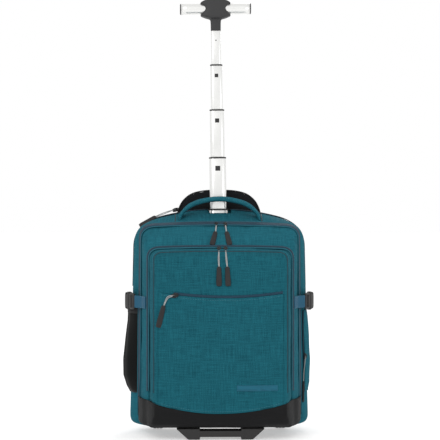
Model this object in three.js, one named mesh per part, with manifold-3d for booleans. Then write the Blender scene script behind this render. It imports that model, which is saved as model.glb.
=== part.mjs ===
// Wheeled backpack: three soft layers on a wheeled base, with a telescopic pole drawn fully out.
// Millimetres. X to the right, Y from the front face to the back panel, Z up from the floor.
import * as THREE from 'three';
import { mergeVertices } from 'three/addons/utils/BufferGeometryUtils.js';
import Module from 'manifold-3d';

const wasm = await Module();
wasm.setup();

// Clearance and cloth
const fit = 0.3;
const cloth = 2;
const coated = 2;
const farOut = 400;
const tapeProud = 1.4;

// Bag outline at the main zip, seen from the front
const zipHalfLow = 164;
const zipLean = 2;
const zipHalfHigh = zipHalfLow - zipLean;
const bagLow = 24;
const zipHigh = 430;
const bagCrown = 3;
const lowCorner = 26;
const highCorner = 28;

// Layers, front to back
const zipPlane = 5;
const zipTape = 6;
const rearDepth = 70;
const rearSwell = 14;
const rearFlare = 8;
const rearRise = 29;
const rearCrown = 16;
const rearCorner = 56;
const mainDepth = 54;
const mainInset = 18;
const mainDrop = 47;
const pocketTape = 6;
const pocketDepth = 38;
const pocketStep = 22;
const pocketHalf = zipHalfLow - pocketStep;
const pocketHigh = 380;
const pocketInset = 14;
const pocketDrop = 36;
const pocketDome = 11;
const pocketCorner = 22;
const pocketLow = 38;
const pocketLowCorner = 10;
const pocketCrown = 2;

// Black base cloth
const baseDrop = 2;
const seamMid = 54;
const seamRise = 23;
const seamHalf = pocketHalf - 2;
const baseInset = 36;
const baseLift = 26;
const baseCorner = 9;
const baseHigh = 197;

// Flat pocket on the front face
const flatInset = 19;
const flatHalf = pocketHalf - flatInset;
const flatZipLow = 282.5;
const flatZipRise = 8.5;
const flatZipMiddle = 10;
const flatZipBlank = 31;
const flatZipStart = flatZipBlank - flatHalf;
const flatZipWidth = 6;
const flatCloth = 1.5;

// Back: panel, yoke and shoulder straps
const panelThick = 12;
const panelOver = 4;
const panelHalf = zipHalfLow + panelOver;
const panelLow = 74;
const panelHigh = 448;
const panelEdge = 6;
const yokeThick = 10;
const yokeLow = 404;
const yokeHigh = 500;
const yokeHalf = 89;
const strapThick = 10;
const strapWide = 60;
const strapTop = 403;
const strapEnd = 168;
const strapTopX = 56;
const strapEndX = 100;
const strapBow = 8;
const lockWide = 34;
const lockHigh = 24;
const lockThick = 5;
const webWide = 20;
const webThick = 1.6;
const webInset = 16;
const webEndX = zipHalfLow - webInset;
const webEndZ = 84;

// Grab handle in front of the pole
const gripHalf = 83;
const gripHigh = 484.4;
const gripDrop = 52;
const gripThick = 10;
const gripWide = 23;
const gripY = 32;

// Side straps and buckles
const beltZ = 270;
const beltWide = 25;
const beltThick = 1.6;
const buckleLong = 25;
const buckleHigh = 38;
const buckleThick = 11;
const buckleAngle = 24;
const buckleOut = 18.5;
const buckleX = zipHalfLow + buckleOut;
const buckleY = 17;

// Side pockets
const pouchCloth = 1;
const bottleLow = 82;
const bottleHigh = 250.4;
const bottleFront = 10;
const bottleBack = 72;
const bottleBulge = 17;
const sideLow = 84;
const sideHigh = 250;
const sideFront = 14;
const sideBack = 72;
const sideBulge = 5;
const sideZipWide = 6;

// Wheels, housings and chassis
const wheelRadius = 30;
const wheelWide = 24;
const wheelInset = 36;
const wheelX = zipHalfLow - wheelInset;
const wheelY = 74;
const tyreThick = 6;
const hubDish = 7;
const axleRadius = 3.7;
const wheelGap = 2.2;
const housingWall = 4;
const housingFront = 34;
const housingLow = 12;
const chassisThick = 7;
const kickHigh = 70;
const kickThick = 5;

// Front foot
const footTopHalf = 88;
const footLegOuter = 64;
const footLegInner = 41;
const footY = -60;
const footDeep = 30;
const barLow = 5.3;
const barHigh = 17.7;

// Telescopic pole
const poleX = 4.3;
const poleLean = 0.79;
const poleWall = 1;
const poleDepthLess = 8;
const stageWidth = [20.1, 24.5, 29.6, 34.6, 39.6];
const stageTop = [830, 756.9, 663.1, 563.7, 456];
const stageOverlap = 45;
const collarHigh = 2.6;
const collarProud = 0.6;
const windowSize = [0, 8, 9.2, 10.6];
const windowDrop = 20.5;
const lockProud = 0.1;
const plugLong = 12;

// T handle
const barAxis = 875.6;
const barRadius = 11.2;
const barHalf = 72.5;
const barWall = 1.5;
const hubHalf = 31.8;
const hubWaist = 22;
const hubHigh = 19.4;
const hubDeep = 30;
const buttonWide = 16.8;
const buttonDeep = 12;
const buttonProud = 2.1;
const buttonTravel = 2;
const buttonFloor = 13.4;

// Zip pulls
const sliderLong = 9;
const sliderWide = 7;
const sliderThick = 3.4;
const cordRadius = 1.1;
const gripEndWide = 10;
const gripTopWide = 7;
const gripTabThick = 4.2;

// Ways of the zip pulls from slider to grip end: across, and down from the zip that each one closes
const mainPullLeft = [-7, -8, -9, -16.5];
const mainPullRight = [11, 12, 13, 19];
const mainPullDrop = [6, 11, 17, 42];
const pocketPullLeft = [-3, -4, -3.6, -3.6];
const pocketPullRight = [10, 11, 12.6, 14.4];
const pocketPullDrop = [4, 23, 39, 77];
const flatPullOut = [-2, 9, 16, 29];
const flatPullDrop = [-8, -0.5, 13.5, 54.5];
const rearPullIn = [72.6, 50, 29, -2];
const rearPullRise = [27, 20, 12, -8];
const rearPullFront = [2.5, 3, 4, 6];
const sidePullRise = [72, 44, 21, -22];

// Planes worked out from the sizes above
const rearRim = zipPlane + zipTape / 2;
const rearFace = rearRim + rearDepth;
const mainRim = zipPlane - zipTape / 2;
const mainFace = mainRim - mainDepth;
const pocketRim = mainFace - pocketTape;
const pocketFace = pocketRim - pocketDepth;
const panelFront = rearFace + fit;
const panelBack = panelFront + panelThick;
const poleY = rearFace - cloth - fit - (stageWidth[4] - poleDepthLess) / 2;
const bottomZ = bagLow - baseDrop;

// Materials
const material = (color, roughness, metalness = 0) =>
  new THREE.MeshStandardMaterial({ color, roughness, metalness });
const teal = material(0x225c69, 0.85);
const tealTape = material(0x1f4251, 0.8);
const black = material(0x272727, 0.8);
const mesh = material(0x171717, 0.9);
const padding = material(0x1e2326, 0.9);
const plastic = material(0x3c3c3c, 0.5);
const rubber = material(0x2a2a2a, 0.7);
const silver = material(0xe6e6e4, 0.35, 0.6);
const pale = material(0xc9c9c6, 0.5);

// Solids
function solid(geometry) {
  const bare = new THREE.BufferGeometry();
  bare.setAttribute('position', geometry.getAttribute('position').clone());
  if (geometry.index) bare.setIndex(geometry.index.clone());
  const merged = mergeVertices(bare, 1e-4);
  return new wasm.Manifold(new wasm.Mesh({
    numProp: 3,
    vertProperties: new Float32Array(merged.getAttribute('position').array),
    triVerts: new Uint32Array(merged.index.array),
  }));
}

function geometryOf(shape) {
  const data = shape.getMesh();
  const geometry = new THREE.BufferGeometry();
  geometry.setAttribute('position', new THREE.BufferAttribute(new Float32Array(data.vertProperties), 3));
  geometry.setIndex(new THREE.BufferAttribute(new Uint32Array(data.triVerts), 1));
  return geometry;
}

function largest(shape) {
  const parts = shape.decompose();
  return parts.reduce((best, part) => (part.volume() > best.volume() ? part : best));
}

// Closed skin through rings of equal count, each end closed by a fan
function ringSkin(rings) {
  const count = rings[0].length;
  const positions = rings.flat().flatMap((point) => [point.x, point.y, point.z]);
  const index = [];
  for (let ring = 0; ring + 1 < rings.length; ring++) {
    for (let k = 0; k < count; k++) {
      const next = (k + 1) % count;
      const [a, b] = [ring * count + k, ring * count + next];
      const [c, d] = [a + count, b + count];
      index.push(a, b, d, a, d, c);
    }
  }
  const fan = (ring, flip) => {
    const middle = new THREE.Vector3();
    rings[ring].forEach((point) => middle.addScaledVector(point, 1 / count));
    const hub = positions.length / 3;
    positions.push(middle.x, middle.y, middle.z);
    for (let k = 0; k < count; k++) {
      const [a, b] = [ring * count + k, ring * count + (k + 1) % count];
      index.push(...(flip ? [hub, b, a] : [hub, a, b]));
    }
  };
  fan(0, true);
  fan(rings.length - 1, false);
  const at = (k) => new THREE.Vector3().fromArray(positions, 3 * k);
  let volume = 0;
  for (let k = 0; k < index.length; k += 3) {
    volume += at(index[k]).dot(at(index[k + 1]).cross(at(index[k + 2])));
  }
  if (volume < 0) {
    for (let k = 0; k < index.length; k += 3) {
      [index[k], index[k + 1]] = [index[k + 1], index[k]];
    }
  }
  const geometry = new THREE.BufferGeometry();
  geometry.setAttribute('position', new THREE.Float32BufferAttribute(positions, 3));
  geometry.setIndex(index);
  return geometry;
}

function box(low, high) {
  const size = new THREE.Vector3().subVectors(high, low);
  const geometry = new THREE.BoxGeometry(size.x, size.y, size.z);
  geometry.translate(...low.clone().addScaledVector(size, 0.5).toArray());
  return solid(geometry);
}

const at = (x, y, z) => new THREE.Vector3(x, y, z);

// Prism of a front-view shape (x, z), from yFrom to yTo
function frontPrism(shape, yFrom, yTo, segments = 6) {
  const geometry = new THREE.ExtrudeGeometry(shape, {
    depth: yTo - yFrom, bevelEnabled: false, curveSegments: segments,
  });
  geometry.rotateX(Math.PI / 2);
  geometry.translate(0, yTo, 0);
  return geometry;
}

// Prism of a top-view shape (x, y), from zFrom to zTo
function topPrism(shape, zFrom, zTo, segments = 6) {
  const geometry = new THREE.ExtrudeGeometry(shape, {
    depth: zTo - zFrom, bevelEnabled: false, curveSegments: segments,
  });
  geometry.translate(0, 0, zFrom);
  return geometry;
}

function polygon(points) {
  return new THREE.Shape(points.map(([x, y]) => new THREE.Vector2(x, y)));
}

// Flat band of one width along a smooth plane curve
function ribbon(points, width, steps) {
  const curve = new THREE.SplineCurve(points.map(([x, y]) => new THREE.Vector2(x, y)));
  const left = [];
  const right = [];
  for (let k = 0; k <= steps; k++) {
    const point = curve.getPoint(k / steps);
    const along = curve.getTangent(k / steps);
    const normal = new THREE.Vector2(-along.y, along.x).multiplyScalar(width / 2);
    left.push(point.clone().add(normal));
    right.unshift(point.clone().sub(normal));
  }
  return new THREE.Shape([...left, ...right]);
}

function roundedRect(width, height, radius) {
  const [x, y] = [width / 2, height / 2];
  const shape = new THREE.Shape();
  shape.absarc(x - radius, y - radius, radius, 0, Math.PI / 2);
  shape.absarc(-x + radius, y - radius, radius, Math.PI / 2, Math.PI);
  shape.absarc(-x + radius, -y + radius, radius, Math.PI, 1.5 * Math.PI);
  shape.absarc(x - radius, -y + radius, radius, 1.5 * Math.PI, 2 * Math.PI);
  return shape;
}

// Front outline of a layer: flat bottom, leaning sides, soft shoulders and a crowned top
function outline({ halfLow, halfHigh, low, high, crown, lowRound, highRound }) {
  const halfAt = (z) => THREE.MathUtils.mapLinear(z, low, high, halfLow, halfHigh);
  const flatLow = halfLow - lowRound;
  const edge = high - crown;
  const flatHigh = halfAt(edge) - highRound;
  const slope = (2 * crown) / flatHigh;
  const shoulder = edge - slope * highRound;
  const right = [];
  for (let k = 0; k < 2; k++) right.push([(flatLow * k) / 2, low]);
  const lowBend = new THREE.QuadraticBezierCurve(
    new THREE.Vector2(flatLow, low), new THREE.Vector2(halfLow, low),
    new THREE.Vector2(halfAt(low + lowRound), low + lowRound));
  lowBend.getPoints(3).forEach((point) => right.push([point.x, point.y]));
  const sideTop = shoulder - highRound * 0.86;
  for (let k = 1; k < 3; k++) {
    const z = THREE.MathUtils.lerp(low + lowRound, sideTop, k / 3);
    right.push([halfAt(z), z]);
  }
  const highBend = new THREE.QuadraticBezierCurve(
    new THREE.Vector2(halfAt(sideTop), sideTop), new THREE.Vector2(halfAt(shoulder), shoulder),
    new THREE.Vector2(flatHigh, edge));
  highBend.getPoints(5).forEach((point) => right.push([point.x, point.y]));
  for (let k = 2; k >= 0; k--) {
    right.push([(flatHigh * k) / 3, high - crown * (k / 3) ** 2]);
  }
  const left = right.slice(1, -1).reverse().map(([x, z]) => [-x, z]);
  return [...right, ...left];
}

// Solid form of a layer, grown by a cloth offset and run past its rim by `over`
function layerForm(layer, grow = 0, over = 0) {
  const towards = Math.sign(layer.face - layer.rim);
  const face = layer.face + towards * grow;
  const shapeAt = ({ inset, drop, lift }) => ({
    halfLow: layer.halfLow - inset * layer.insetLow + grow,
    halfHigh: layer.halfHigh - inset * layer.insetHigh + grow,
    low: layer.low + lift * layer.lift - grow,
    high: layer.high - drop * layer.drop + grow,
    crown: THREE.MathUtils.lerp(layer.crown, layer.faceCrown, drop),
    lowRound: layer.lowRound + grow,
    highRound: THREE.MathUtils.lerp(layer.highRound, layer.faceRound, drop) + grow,
  });
  const rings = layer.rows.map((row) => {
    const y = THREE.MathUtils.lerp(layer.rim, face, row.depth);
    return outline(shapeAt(row)).map(([x, z]) => at(x, y, z));
  });
  if (over > 0) rings.unshift(rings[0].map((point) => at(point.x, point.y - towards * over, point.z)));
  const last = rings[rings.length - 1];
  const middle = (layer.low + layer.high - layer.drop) / 2;
  layer.dome.forEach(({ spread, rise }) => {
    rings.push(last.map((point) => at(
      point.x * spread,
      point.y + towards * rise * layer.domeHigh,
      middle + (point.z - middle) * spread)));
  });
  return solid(ringSkin(rings));
}

// A layer as cloth of one thickness, open at its rim
const layerShell = (layer, wall) => layerForm(layer).subtract(layerForm(layer, -wall, 1));

// Cloth of one thickness lying on a layer
const layerSkin = (layer, thick) => layerForm(layer, fit + thick).subtract(layerForm(layer, fit, 1));

const rearLayer = {
  rim: rearRim, face: rearFace,
  halfLow: zipHalfLow, halfHigh: zipHalfHigh, low: bagLow, high: zipHigh,
  insetLow: -(rearSwell + rearFlare), insetHigh: -rearSwell, drop: -rearRise, lift: 6,
  crown: bagCrown, faceCrown: rearCrown, lowRound: lowCorner, highRound: highCorner, faceRound: rearCorner,
  rows: [
    { depth: 0, inset: 0, drop: 0, lift: 0 },
    { depth: 0.2, inset: 0.62, drop: 0.3, lift: 0 },
    { depth: 0.45, inset: 0.95, drop: 0.66, lift: 0 },
    { depth: 0.75, inset: 1, drop: 0.95, lift: 0 },
    { depth: 0.93, inset: 0.86, drop: 1, lift: 0.3 },
    { depth: 1, inset: 0.55, drop: 0.88, lift: 1 },
  ],
  dome: [], domeHigh: 0,
};

const mainLayer = {
  rim: mainRim, face: mainFace,
  halfLow: zipHalfLow, halfHigh: zipHalfHigh, low: bagLow + fit, high: zipHigh - 2,
  insetLow: mainInset, insetHigh: mainInset, drop: mainDrop, lift: 4,
  crown: bagCrown, faceCrown: bagCrown, lowRound: lowCorner, highRound: highCorner, faceRound: highCorner,
  rows: [
    { depth: 0, inset: 0, drop: 0, lift: 0 },
    { depth: 0.3, inset: 0.12, drop: 0.16, lift: 0 },
    { depth: 0.6, inset: 0.38, drop: 0.44, lift: 0 },
    { depth: 0.85, inset: 0.74, drop: 0.78, lift: 0.2 },
    { depth: 1, inset: 1, drop: 1, lift: 1 },
  ],
  dome: [], domeHigh: 0,
};

const pocketLayer = {
  rim: pocketRim, face: pocketFace,
  halfLow: pocketHalf, halfHigh: pocketHalf, low: pocketLow, high: pocketHigh,
  insetLow: pocketInset, insetHigh: pocketInset, drop: pocketDrop, lift: 0,
  crown: pocketCrown, faceCrown: pocketCrown, lowRound: pocketLowCorner,
  highRound: pocketCorner, faceRound: pocketCorner,
  rows: [
    { depth: 0, inset: 0, drop: 0, lift: 0 },
    { depth: 0.4, inset: 0.14, drop: 0.12, lift: 0 },
    { depth: 0.75, inset: 0.48, drop: 0.42, lift: 0 },
    { depth: 0.92, inset: 0.8, drop: 0.74, lift: 0 },
    { depth: 1, inset: 1, drop: 1, lift: 0 },
  ],
  dome: [
    { spread: 0.93, rise: 0.32 },
    { spread: 0.78, rise: 0.68 },
    { spread: 0.5, rise: 0.93 },
  ],
  domeHigh: pocketDome,
};

const baseLayer = {
  rim: mainRim - fit, face: pocketFace,
  halfLow: zipHalfLow + fit + coated, halfHigh: zipHalfLow + fit + coated,
  low: bottomZ, high: baseHigh,
  insetLow: baseInset, insetHigh: baseInset, drop: 0, lift: baseLift,
  crown: pocketCrown, faceCrown: pocketCrown, lowRound: baseCorner, highRound: 20, faceRound: 20,
  rows: [
    { depth: 0, inset: 0, drop: 0, lift: 0 },
    { depth: 0.2, inset: 0.09, drop: 0, lift: 0 },
    { depth: 0.4, inset: 0.27, drop: 0, lift: 0 },
    { depth: 0.56, inset: 0.5, drop: 0, lift: 0 },
    { depth: 0.74, inset: 0.66, drop: 0, lift: 0.02 },
    { depth: 0.9, inset: 0.84, drop: 0, lift: 0.36 },
    { depth: 1, inset: 1, drop: 0, lift: 1 },
  ],
  dome: [], domeHigh: 0,
};

const bagForm = (grow) => layerForm(rearLayer, grow, zipTape / 2)
  .add(layerForm(mainLayer, grow, zipTape / 2));

const zipRing = (grow) => {
  const shape = {
    halfLow: zipHalfLow + grow, halfHigh: zipHalfHigh + grow, low: bagLow + fit - grow,
    high: zipHigh - 1 + grow, crown: bagCrown, lowRound: lowCorner + grow, highRound: highCorner + grow,
  };
  return polygon(outline(shape));
};
const bagCover = bagForm(fit).add(solid(frontPrism(zipRing(tapeProud + fit), mainRim, rearRim)));

// The seam between the front pocket and the black base cloth
const seamZ = (x) => seamMid + seamRise * Math.min(1, (x / seamHalf) ** 2);

function overSeam(gap, top) {
  const reach = zipHalfLow + 60;
  const points = [];
  for (let k = -12; k <= 12; k++) {
    const x = (k / 12) * seamHalf;
    points.push([x, seamZ(x) + gap]);
  }
  points.unshift([-reach, seamZ(reach) + gap]);
  points.push([reach, seamZ(reach) + gap], [reach, top], [-reach, top]);
  return solid(frontPrism(polygon(points), pocketFace - 60, rearFace));
}

// Surface of the bag at a front-view or side-view point
const bothSides = new THREE.MeshBasicMaterial({ side: THREE.DoubleSide });
const probe = (form) => new THREE.Mesh(geometryOf(form), bothSides);
const bagProbe = probe(bagForm(0));
const pocketProbe = probe(layerForm(pocketLayer, flatCloth + fit));
function touch(target, from, direction) {
  const hit = new THREE.Raycaster(from, direction).intersectObject(target)[0];
  return hit ? hit.point : from;
}
const sideAt = (side, y, z) => Math.abs(touch(bagProbe, at(side * farOut, y, z), at(-side, 0, 0)).x);

const bag = new THREE.Group();
function piece(name, shape, look, parent = bag) {
  const geometry = shape instanceof THREE.BufferGeometry ? shape : geometryOf(shape);
  const part = new THREE.Mesh(geometry, look);
  part.name = name;
  parent.add(part);
  return part;
}
const eachSide = (make) => [['left', -1], ['right', 1]].forEach(([name, side]) => make(name, side));

// Telescopic pole: the group leans with the pole, so its pieces are drawn upright in it
const pole = new THREE.Group();
pole.position.set(poleX, poleY, 0);
pole.rotation.y = -THREE.MathUtils.degToRad(poleLean);
pole.updateMatrix();
const inBag = (geometry) => geometry.clone().applyMatrix4(pole.matrix);

function tubeProfile(width, grow) {
  const depth = width - poleDepthLess;
  return roundedRect(width + 2 * grow, depth + 2 * grow, depth * 0.36 + grow);
}

function tube(width, from, to, outer, inner) {
  const shape = tubeProfile(width, outer);
  shape.holes.push(new THREE.Path(tubeProfile(width, inner).getPoints(2)));
  return topPrism(shape, from, to, 2);
}

// Wheel housings: a moulded cover over the top and front of each wheel
const housingHalf = wheelWide / 2 + wheelGap + housingWall;
const cavityRadius = wheelRadius + wheelGap;
const housingRadius = cavityRadius + 2.8;
function housingShape(grow) {
  const shape = new THREE.Shape();
  shape.moveTo(housingFront - grow, housingLow - grow);
  shape.lineTo(wheelY, housingLow - grow);
  shape.lineTo(wheelY, wheelRadius - grow);
  shape.lineTo(wheelY + housingRadius + grow, wheelRadius - grow);
  shape.absarc(wheelY, wheelRadius, housingRadius + grow, 0, Math.PI / 2, false);
  shape.lineTo(housingFront - grow, wheelRadius + housingRadius + grow);
  return shape;
}
function sidePrism(shape, xFrom, xTo) {
  const geometry = new THREE.ExtrudeGeometry(shape, {
    depth: xTo - xFrom, bevelEnabled: false, curveSegments: 8,
  });
  geometry.rotateX(Math.PI / 2);
  geometry.rotateZ(Math.PI / 2);
  geometry.translate(xFrom, 0, 0);
  return geometry;
}
function acrossCylinder(radius, half, x, sides = 20) {
  const geometry = new THREE.CylinderGeometry(radius, radius, 2 * half, sides);
  geometry.rotateZ(Math.PI / 2);
  geometry.translate(x, wheelY, wheelRadius);
  return solid(geometry);
}

// Soft layers
const poleHole = solid(inBag(topPrism(
  tubeProfile(stageWidth[4], collarProud + fit), bagLow - 40, stageTop[4] + 40, 2)));
let rear = layerShell(rearLayer, cloth);
eachSide((name, side) => {
  const middle = side * wheelX;
  const half = housingHalf + fit;
  rear = rear.subtract(solid(sidePrism(housingShape(fit), middle - half, middle + half)));
  rear = rear.subtract(box(at(middle - half, wheelY, -10), at(middle + half, rearFace + 20, wheelRadius)));
});
piece('rear_compartment', largest(rear.subtract(poleHole)), teal);

const zipShape = zipRing(tapeProud);
zipShape.holes.push(new THREE.Path(zipRing(-cloth).getPoints()));
piece('main_zipper', solid(frontPrism(zipShape, mainRim + fit, rearRim - fit)).subtract(
  box(at(-zipHalfLow * 2, mainRim - 10, -20), at(zipHalfLow * 2, rearRim + 10, bagLow + fit))), tealTape);

piece('main_compartment', layerShell(mainLayer, cloth), teal);

const pocketOutline = (grow, low) => outline({
  halfLow: pocketHalf + grow, halfHigh: pocketHalf + grow, low, high: pocketHigh + grow,
  crown: pocketCrown, lowRound: pocketLowCorner, highRound: pocketCorner + Math.min(grow, 0) });
const ringOuter = pocketOutline(tapeProud, pocketLow);
const ringInner = pocketOutline(-cloth, pocketLow - 10);
const pocketRing = solid(frontPrism(polygon(ringOuter), pocketRim + fit, mainFace - fit))
  .subtract(solid(frontPrism(polygon(ringInner), pocketRim - 5, mainFace + 5)));
const aboveSeam = overSeam(fit, pocketHigh + 60);
piece('pocket_zipper', largest(pocketRing.intersect(aboveSeam)), tealTape);
piece('front_pocket', largest(layerShell(pocketLayer, cloth).intersect(aboveSeam)), teal);

const baseShell = layerShell(baseLayer, coated).subtract(overSeam(0, baseLayer.high + 60))
  .subtract(layerForm(mainLayer, fit, 40));
piece('base_panel', largest(baseShell), black);

// Flat pocket and its zip
const flatZip = (x) => flatZipLow + flatZipRise * ((x - flatZipMiddle) / (flatHalf - flatZipMiddle)) ** 2;
function facePrism(xFrom, xTo, lowEdge, highEdge) {
  const points = [];
  const steps = 10;
  for (let k = 0; k <= steps; k++) {
    const x = THREE.MathUtils.lerp(xFrom, xTo, k / steps);
    points.push([x, lowEdge(x)]);
  }
  for (let k = steps; k >= 0; k--) {
    const x = THREE.MathUtils.lerp(xFrom, xTo, k / steps);
    points.push([x, highEdge(x)]);
  }
  return solid(frontPrism(polygon(points), pocketFace - 60, pocketFace + 3));
}
const faceSkin = layerSkin(pocketLayer, flatCloth);
piece('flat_pocket', largest(faceSkin.intersect(
  facePrism(-flatHalf, flatHalf, (x) => seamZ(x) + fit, (x) => flatZip(x) - fit))), teal);
piece('flat_pocket_zipper', largest(faceSkin.intersect(
  facePrism(flatZipStart, flatHalf, flatZip, (x) => flatZip(x) + flatZipWidth))), tealTape);

// Zip of the rear compartment, near its back edge
const rearZipY = rearFace - 12;
const rearZipWide = 5;
const rearZip = layerSkin(rearLayer, tapeProud).intersect(box(
  at(-farOut, rearZipY - rearZipWide, beltZ + beltWide), at(farOut, rearZipY, 2 * farOut)));

// Grab handle, cut to sit on the sloping top
const gripPoints = [[-1, -0.94], [-0.93, -0.56], [-0.7, -0.24], [-0.36, -0.06], [0, 0],
  [0.36, -0.06], [0.7, -0.24], [0.93, -0.56], [1, -0.94]];
const gripMid = gripHigh - gripThick / 2;
const gripShape = ribbon(gripPoints.map(([x, z]) => [x * gripHalf, gripMid + z * gripDrop]), gripThick, 22);
const gripSolid = solid(frontPrism(gripShape, gripY - gripWide / 2, gripY + gripWide / 2));
piece('grab_handle', largest(gripSolid.subtract(bagCover)), teal);
eachSide((name, side) => {
  const half = rearZip.intersect(box(at(side < 0 ? -farOut : stageWidth[4] / 2 + poleX, 0, 0),
    at(side < 0 ? -stageWidth[4] / 2 - poleX : farOut, farOut, 2 * farOut)));
  piece(`rear_zipper_${name}`, largest(half), tealTape);
});

// Back panel and yoke: padded plates with soft edges
function pillow(points, yFrom, yTo, edge) {
  const xs = points.map(([x]) => x);
  const zs = points.map(([, z]) => z);
  const middle = [(Math.max(...xs) + Math.min(...xs)) / 2, (Math.max(...zs) + Math.min(...zs)) / 2];
  const half = [(Math.max(...xs) - Math.min(...xs)) / 2, (Math.max(...zs) - Math.min(...zs)) / 2];
  const ring = (y, pull) => points.map(([x, z]) => at(
    middle[0] + (x - middle[0]) * (1 - pull / half[0]), y,
    middle[1] + (z - middle[1]) * (1 - pull / half[1])));
  const bend = ring(yTo - edge * 0.3, edge * 0.35);
  return ringSkin([ring(yFrom, 0), ring(yTo - edge, 0), bend, ring(yTo, edge)]);
}
piece('back_panel', pillow(outline({
  halfLow: panelHalf, halfHigh: panelHalf - 12, low: panelLow, high: panelHigh, crown: 8,
  lowRound: lowCorner, highRound: highCorner }), panelFront, panelBack, panelEdge), padding);

const yokeRows = [
  { width: 0.9, height: 0 }, { width: 0.97, height: 0.18 }, { width: 1, height: 0.42 },
  { width: 0.96, height: 0.6 }, { width: 0.85, height: 0.78 }, { width: 0.65, height: 0.92 },
  { width: 0.36, height: 0.985 },
];
const yokeAt = (row, side) => [side * row.width * yokeHalf, yokeLow + row.height * (yokeHigh - yokeLow)];
const yokePoints = [...yokeRows.map((row) => yokeAt(row, 1)), [0, yokeHigh],
  ...yokeRows.map((row) => yokeAt(row, -1)).reverse()];
const yokeFront = panelBack + fit;
piece('strap_yoke', pillow(yokePoints, yokeFront, yokeFront + yokeThick, 3), padding);

// Shoulder straps, bowed off the back panel so that an arm passes under them
const strapRows = [
  { down: 0, out: 0, bow: 0, wide: 1 }, { down: 0.12, out: 0.06, bow: 0.5, wide: 1.03 },
  { down: 0.3, out: 0.2, bow: 1, wide: 1.04 }, { down: 0.55, out: 0.5, bow: 1, wide: 1 },
  { down: 0.78, out: 0.82, bow: 0.7, wide: 0.94 }, { down: 0.92, out: 0.95, bow: 0.2, wide: 0.86 },
  { down: 1, out: 1, bow: 0, wide: 0.74 },
];
const strapSection = [[-0.5, 0.25], [-0.42, 0], [0.42, 0], [0.5, 0.25],
  [0.5, 0.75], [0.42, 1], [-0.42, 1], [-0.5, 0.75]];
eachSide((name, side) => {
  const rings = strapRows.map((row) => {
    const x = THREE.MathUtils.lerp(strapTopX, strapEndX, row.out);
    const z = THREE.MathUtils.lerp(strapTop, strapEnd, row.down);
    return strapSection.map(([across, deep]) => at(
      side * (x + across * strapWide * row.wide), yokeFront + row.bow * strapBow + deep * strapThick, z));
  });
  piece(`shoulder_strap_${name}`, ringSkin(rings), padding);

  const lockTop = strapEnd - fit;
  const lock = roundedRect(lockWide, lockHigh, 4);
  [-1, 1].forEach((row) => {
    const [x, z] = [webWide / 2 + 1.5, row * lockHigh * 0.22];
    lock.holes.push(new THREE.Path([[x, z - 1.7], [x, z + 1.7], [-x, z + 1.7], [-x, z - 1.7]]
      .map((corner) => new THREE.Vector2(...corner))));
  });
  const lockGeometry = frontPrism(lock, yokeFront, yokeFront + lockThick, 1);
  lockGeometry.translate(side * strapEndX, 0, lockTop - lockHigh / 2);
  piece(`ladder_lock_${name}`, lockGeometry, plastic);

  const webTop = lockTop - lockHigh - fit;
  const web = ribbon([
    [strapEndX, webTop], [strapEndX + 3, webTop - 16],
    [THREE.MathUtils.lerp(strapEndX, webEndX, 0.5), (webTop + webEndZ) / 2 - 8], [webEndX, webEndZ],
  ].map(([x, z]) => [side * x, z]), webWide, 12);
  const webSolid = solid(frontPrism(web, yokeFront, yokeFront + webThick));
  piece(`strap_webbing_${name}`, webSolid.intersect(box(at(-farOut, 0, 0), at(farOut, 400, webTop))), black);
});

// Compression straps and their fastened side-release buckles
eachSide((name, side) => {
  const turn = THREE.MathUtils.degToRad(buckleAngle);
  const along = new THREE.Vector2(Math.sin(turn), Math.cos(turn));
  const middle = new THREE.Vector2(buckleX, buckleY);
  const local = (distance, out = 0) => [
    side * (middle.x + along.x * distance + along.y * out), middle.y + along.y * distance - along.x * out];
  const place = (geometry, distance) => {
    geometry.rotateZ(-side * turn);
    const [x, y] = local(distance);
    geometry.translate(x, y, beltZ);
    return geometry;
  };
  const socketShape = roundedRect(buckleThick, buckleLong, 4);
  const socketMiddle = buckleLong / 2 + fit / 2;
  const socket = solid(place(topPrism(socketShape, -buckleHigh / 2, buckleHigh / 2, 2), socketMiddle));
  const mouth = new THREE.BoxGeometry(buckleThick - 4, buckleLong - 5, buckleHigh - 8);
  mouth.translate(0, -4, 0);
  piece(`buckle_socket_${name}`, socket.subtract(solid(place(mouth, socketMiddle))), plastic);
  const plugShape = roundedRect(buckleThick - 2, buckleLong - 3, 3.5);
  const plug = solid(place(
    topPrism(plugShape, -buckleHigh / 2 + 2, buckleHigh / 2 - 2, 2), -(buckleLong - 3) / 2 - fit / 2));
  const prong = new THREE.BoxGeometry(buckleThick - 4 - 2 * fit, 12, 5);
  prong.translate(0, 6 - 1, 0);
  const prongs = [-1, 1].map((row) => {
    const copy = prong.clone().translate(0, 0, row * (buckleHigh / 2 - 9));
    return solid(place(copy, -fit / 2));
  });
  piece(`buckle_plug_${name}`, plug.add(prongs[0]).add(prongs[1]), plastic);

  const lift = fit + beltThick / 2;
  const onBag = (y) => [side * (sideAt(side, y, beltZ) + lift), y];
  const frontEnd = local(-(buckleLong - 3) - 2 * fit);
  const frontBelt = ribbon(
    [onBag(mainFace + 8), onBag(mainFace + 18), onBag(mainFace + 30), frontEnd], beltThick, 12);
  piece(`side_strap_front_${name}`, solid(topPrism(frontBelt, beltZ - beltWide / 2, beltZ + beltWide / 2))
    .subtract(bagCover), teal);
  const rearEnd = local(buckleLong + 3 * fit);
  const rearBelt = ribbon(
    [rearEnd, onBag(rearFace - 18), onBag(rearFace - 8), onBag(rearFace - 3)], beltThick, 12);
  piece(`side_strap_rear_${name}`, solid(topPrism(rearBelt, beltZ - beltWide / 2, beltZ + beltWide / 2))
    .subtract(bagCover), teal);
});

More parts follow.
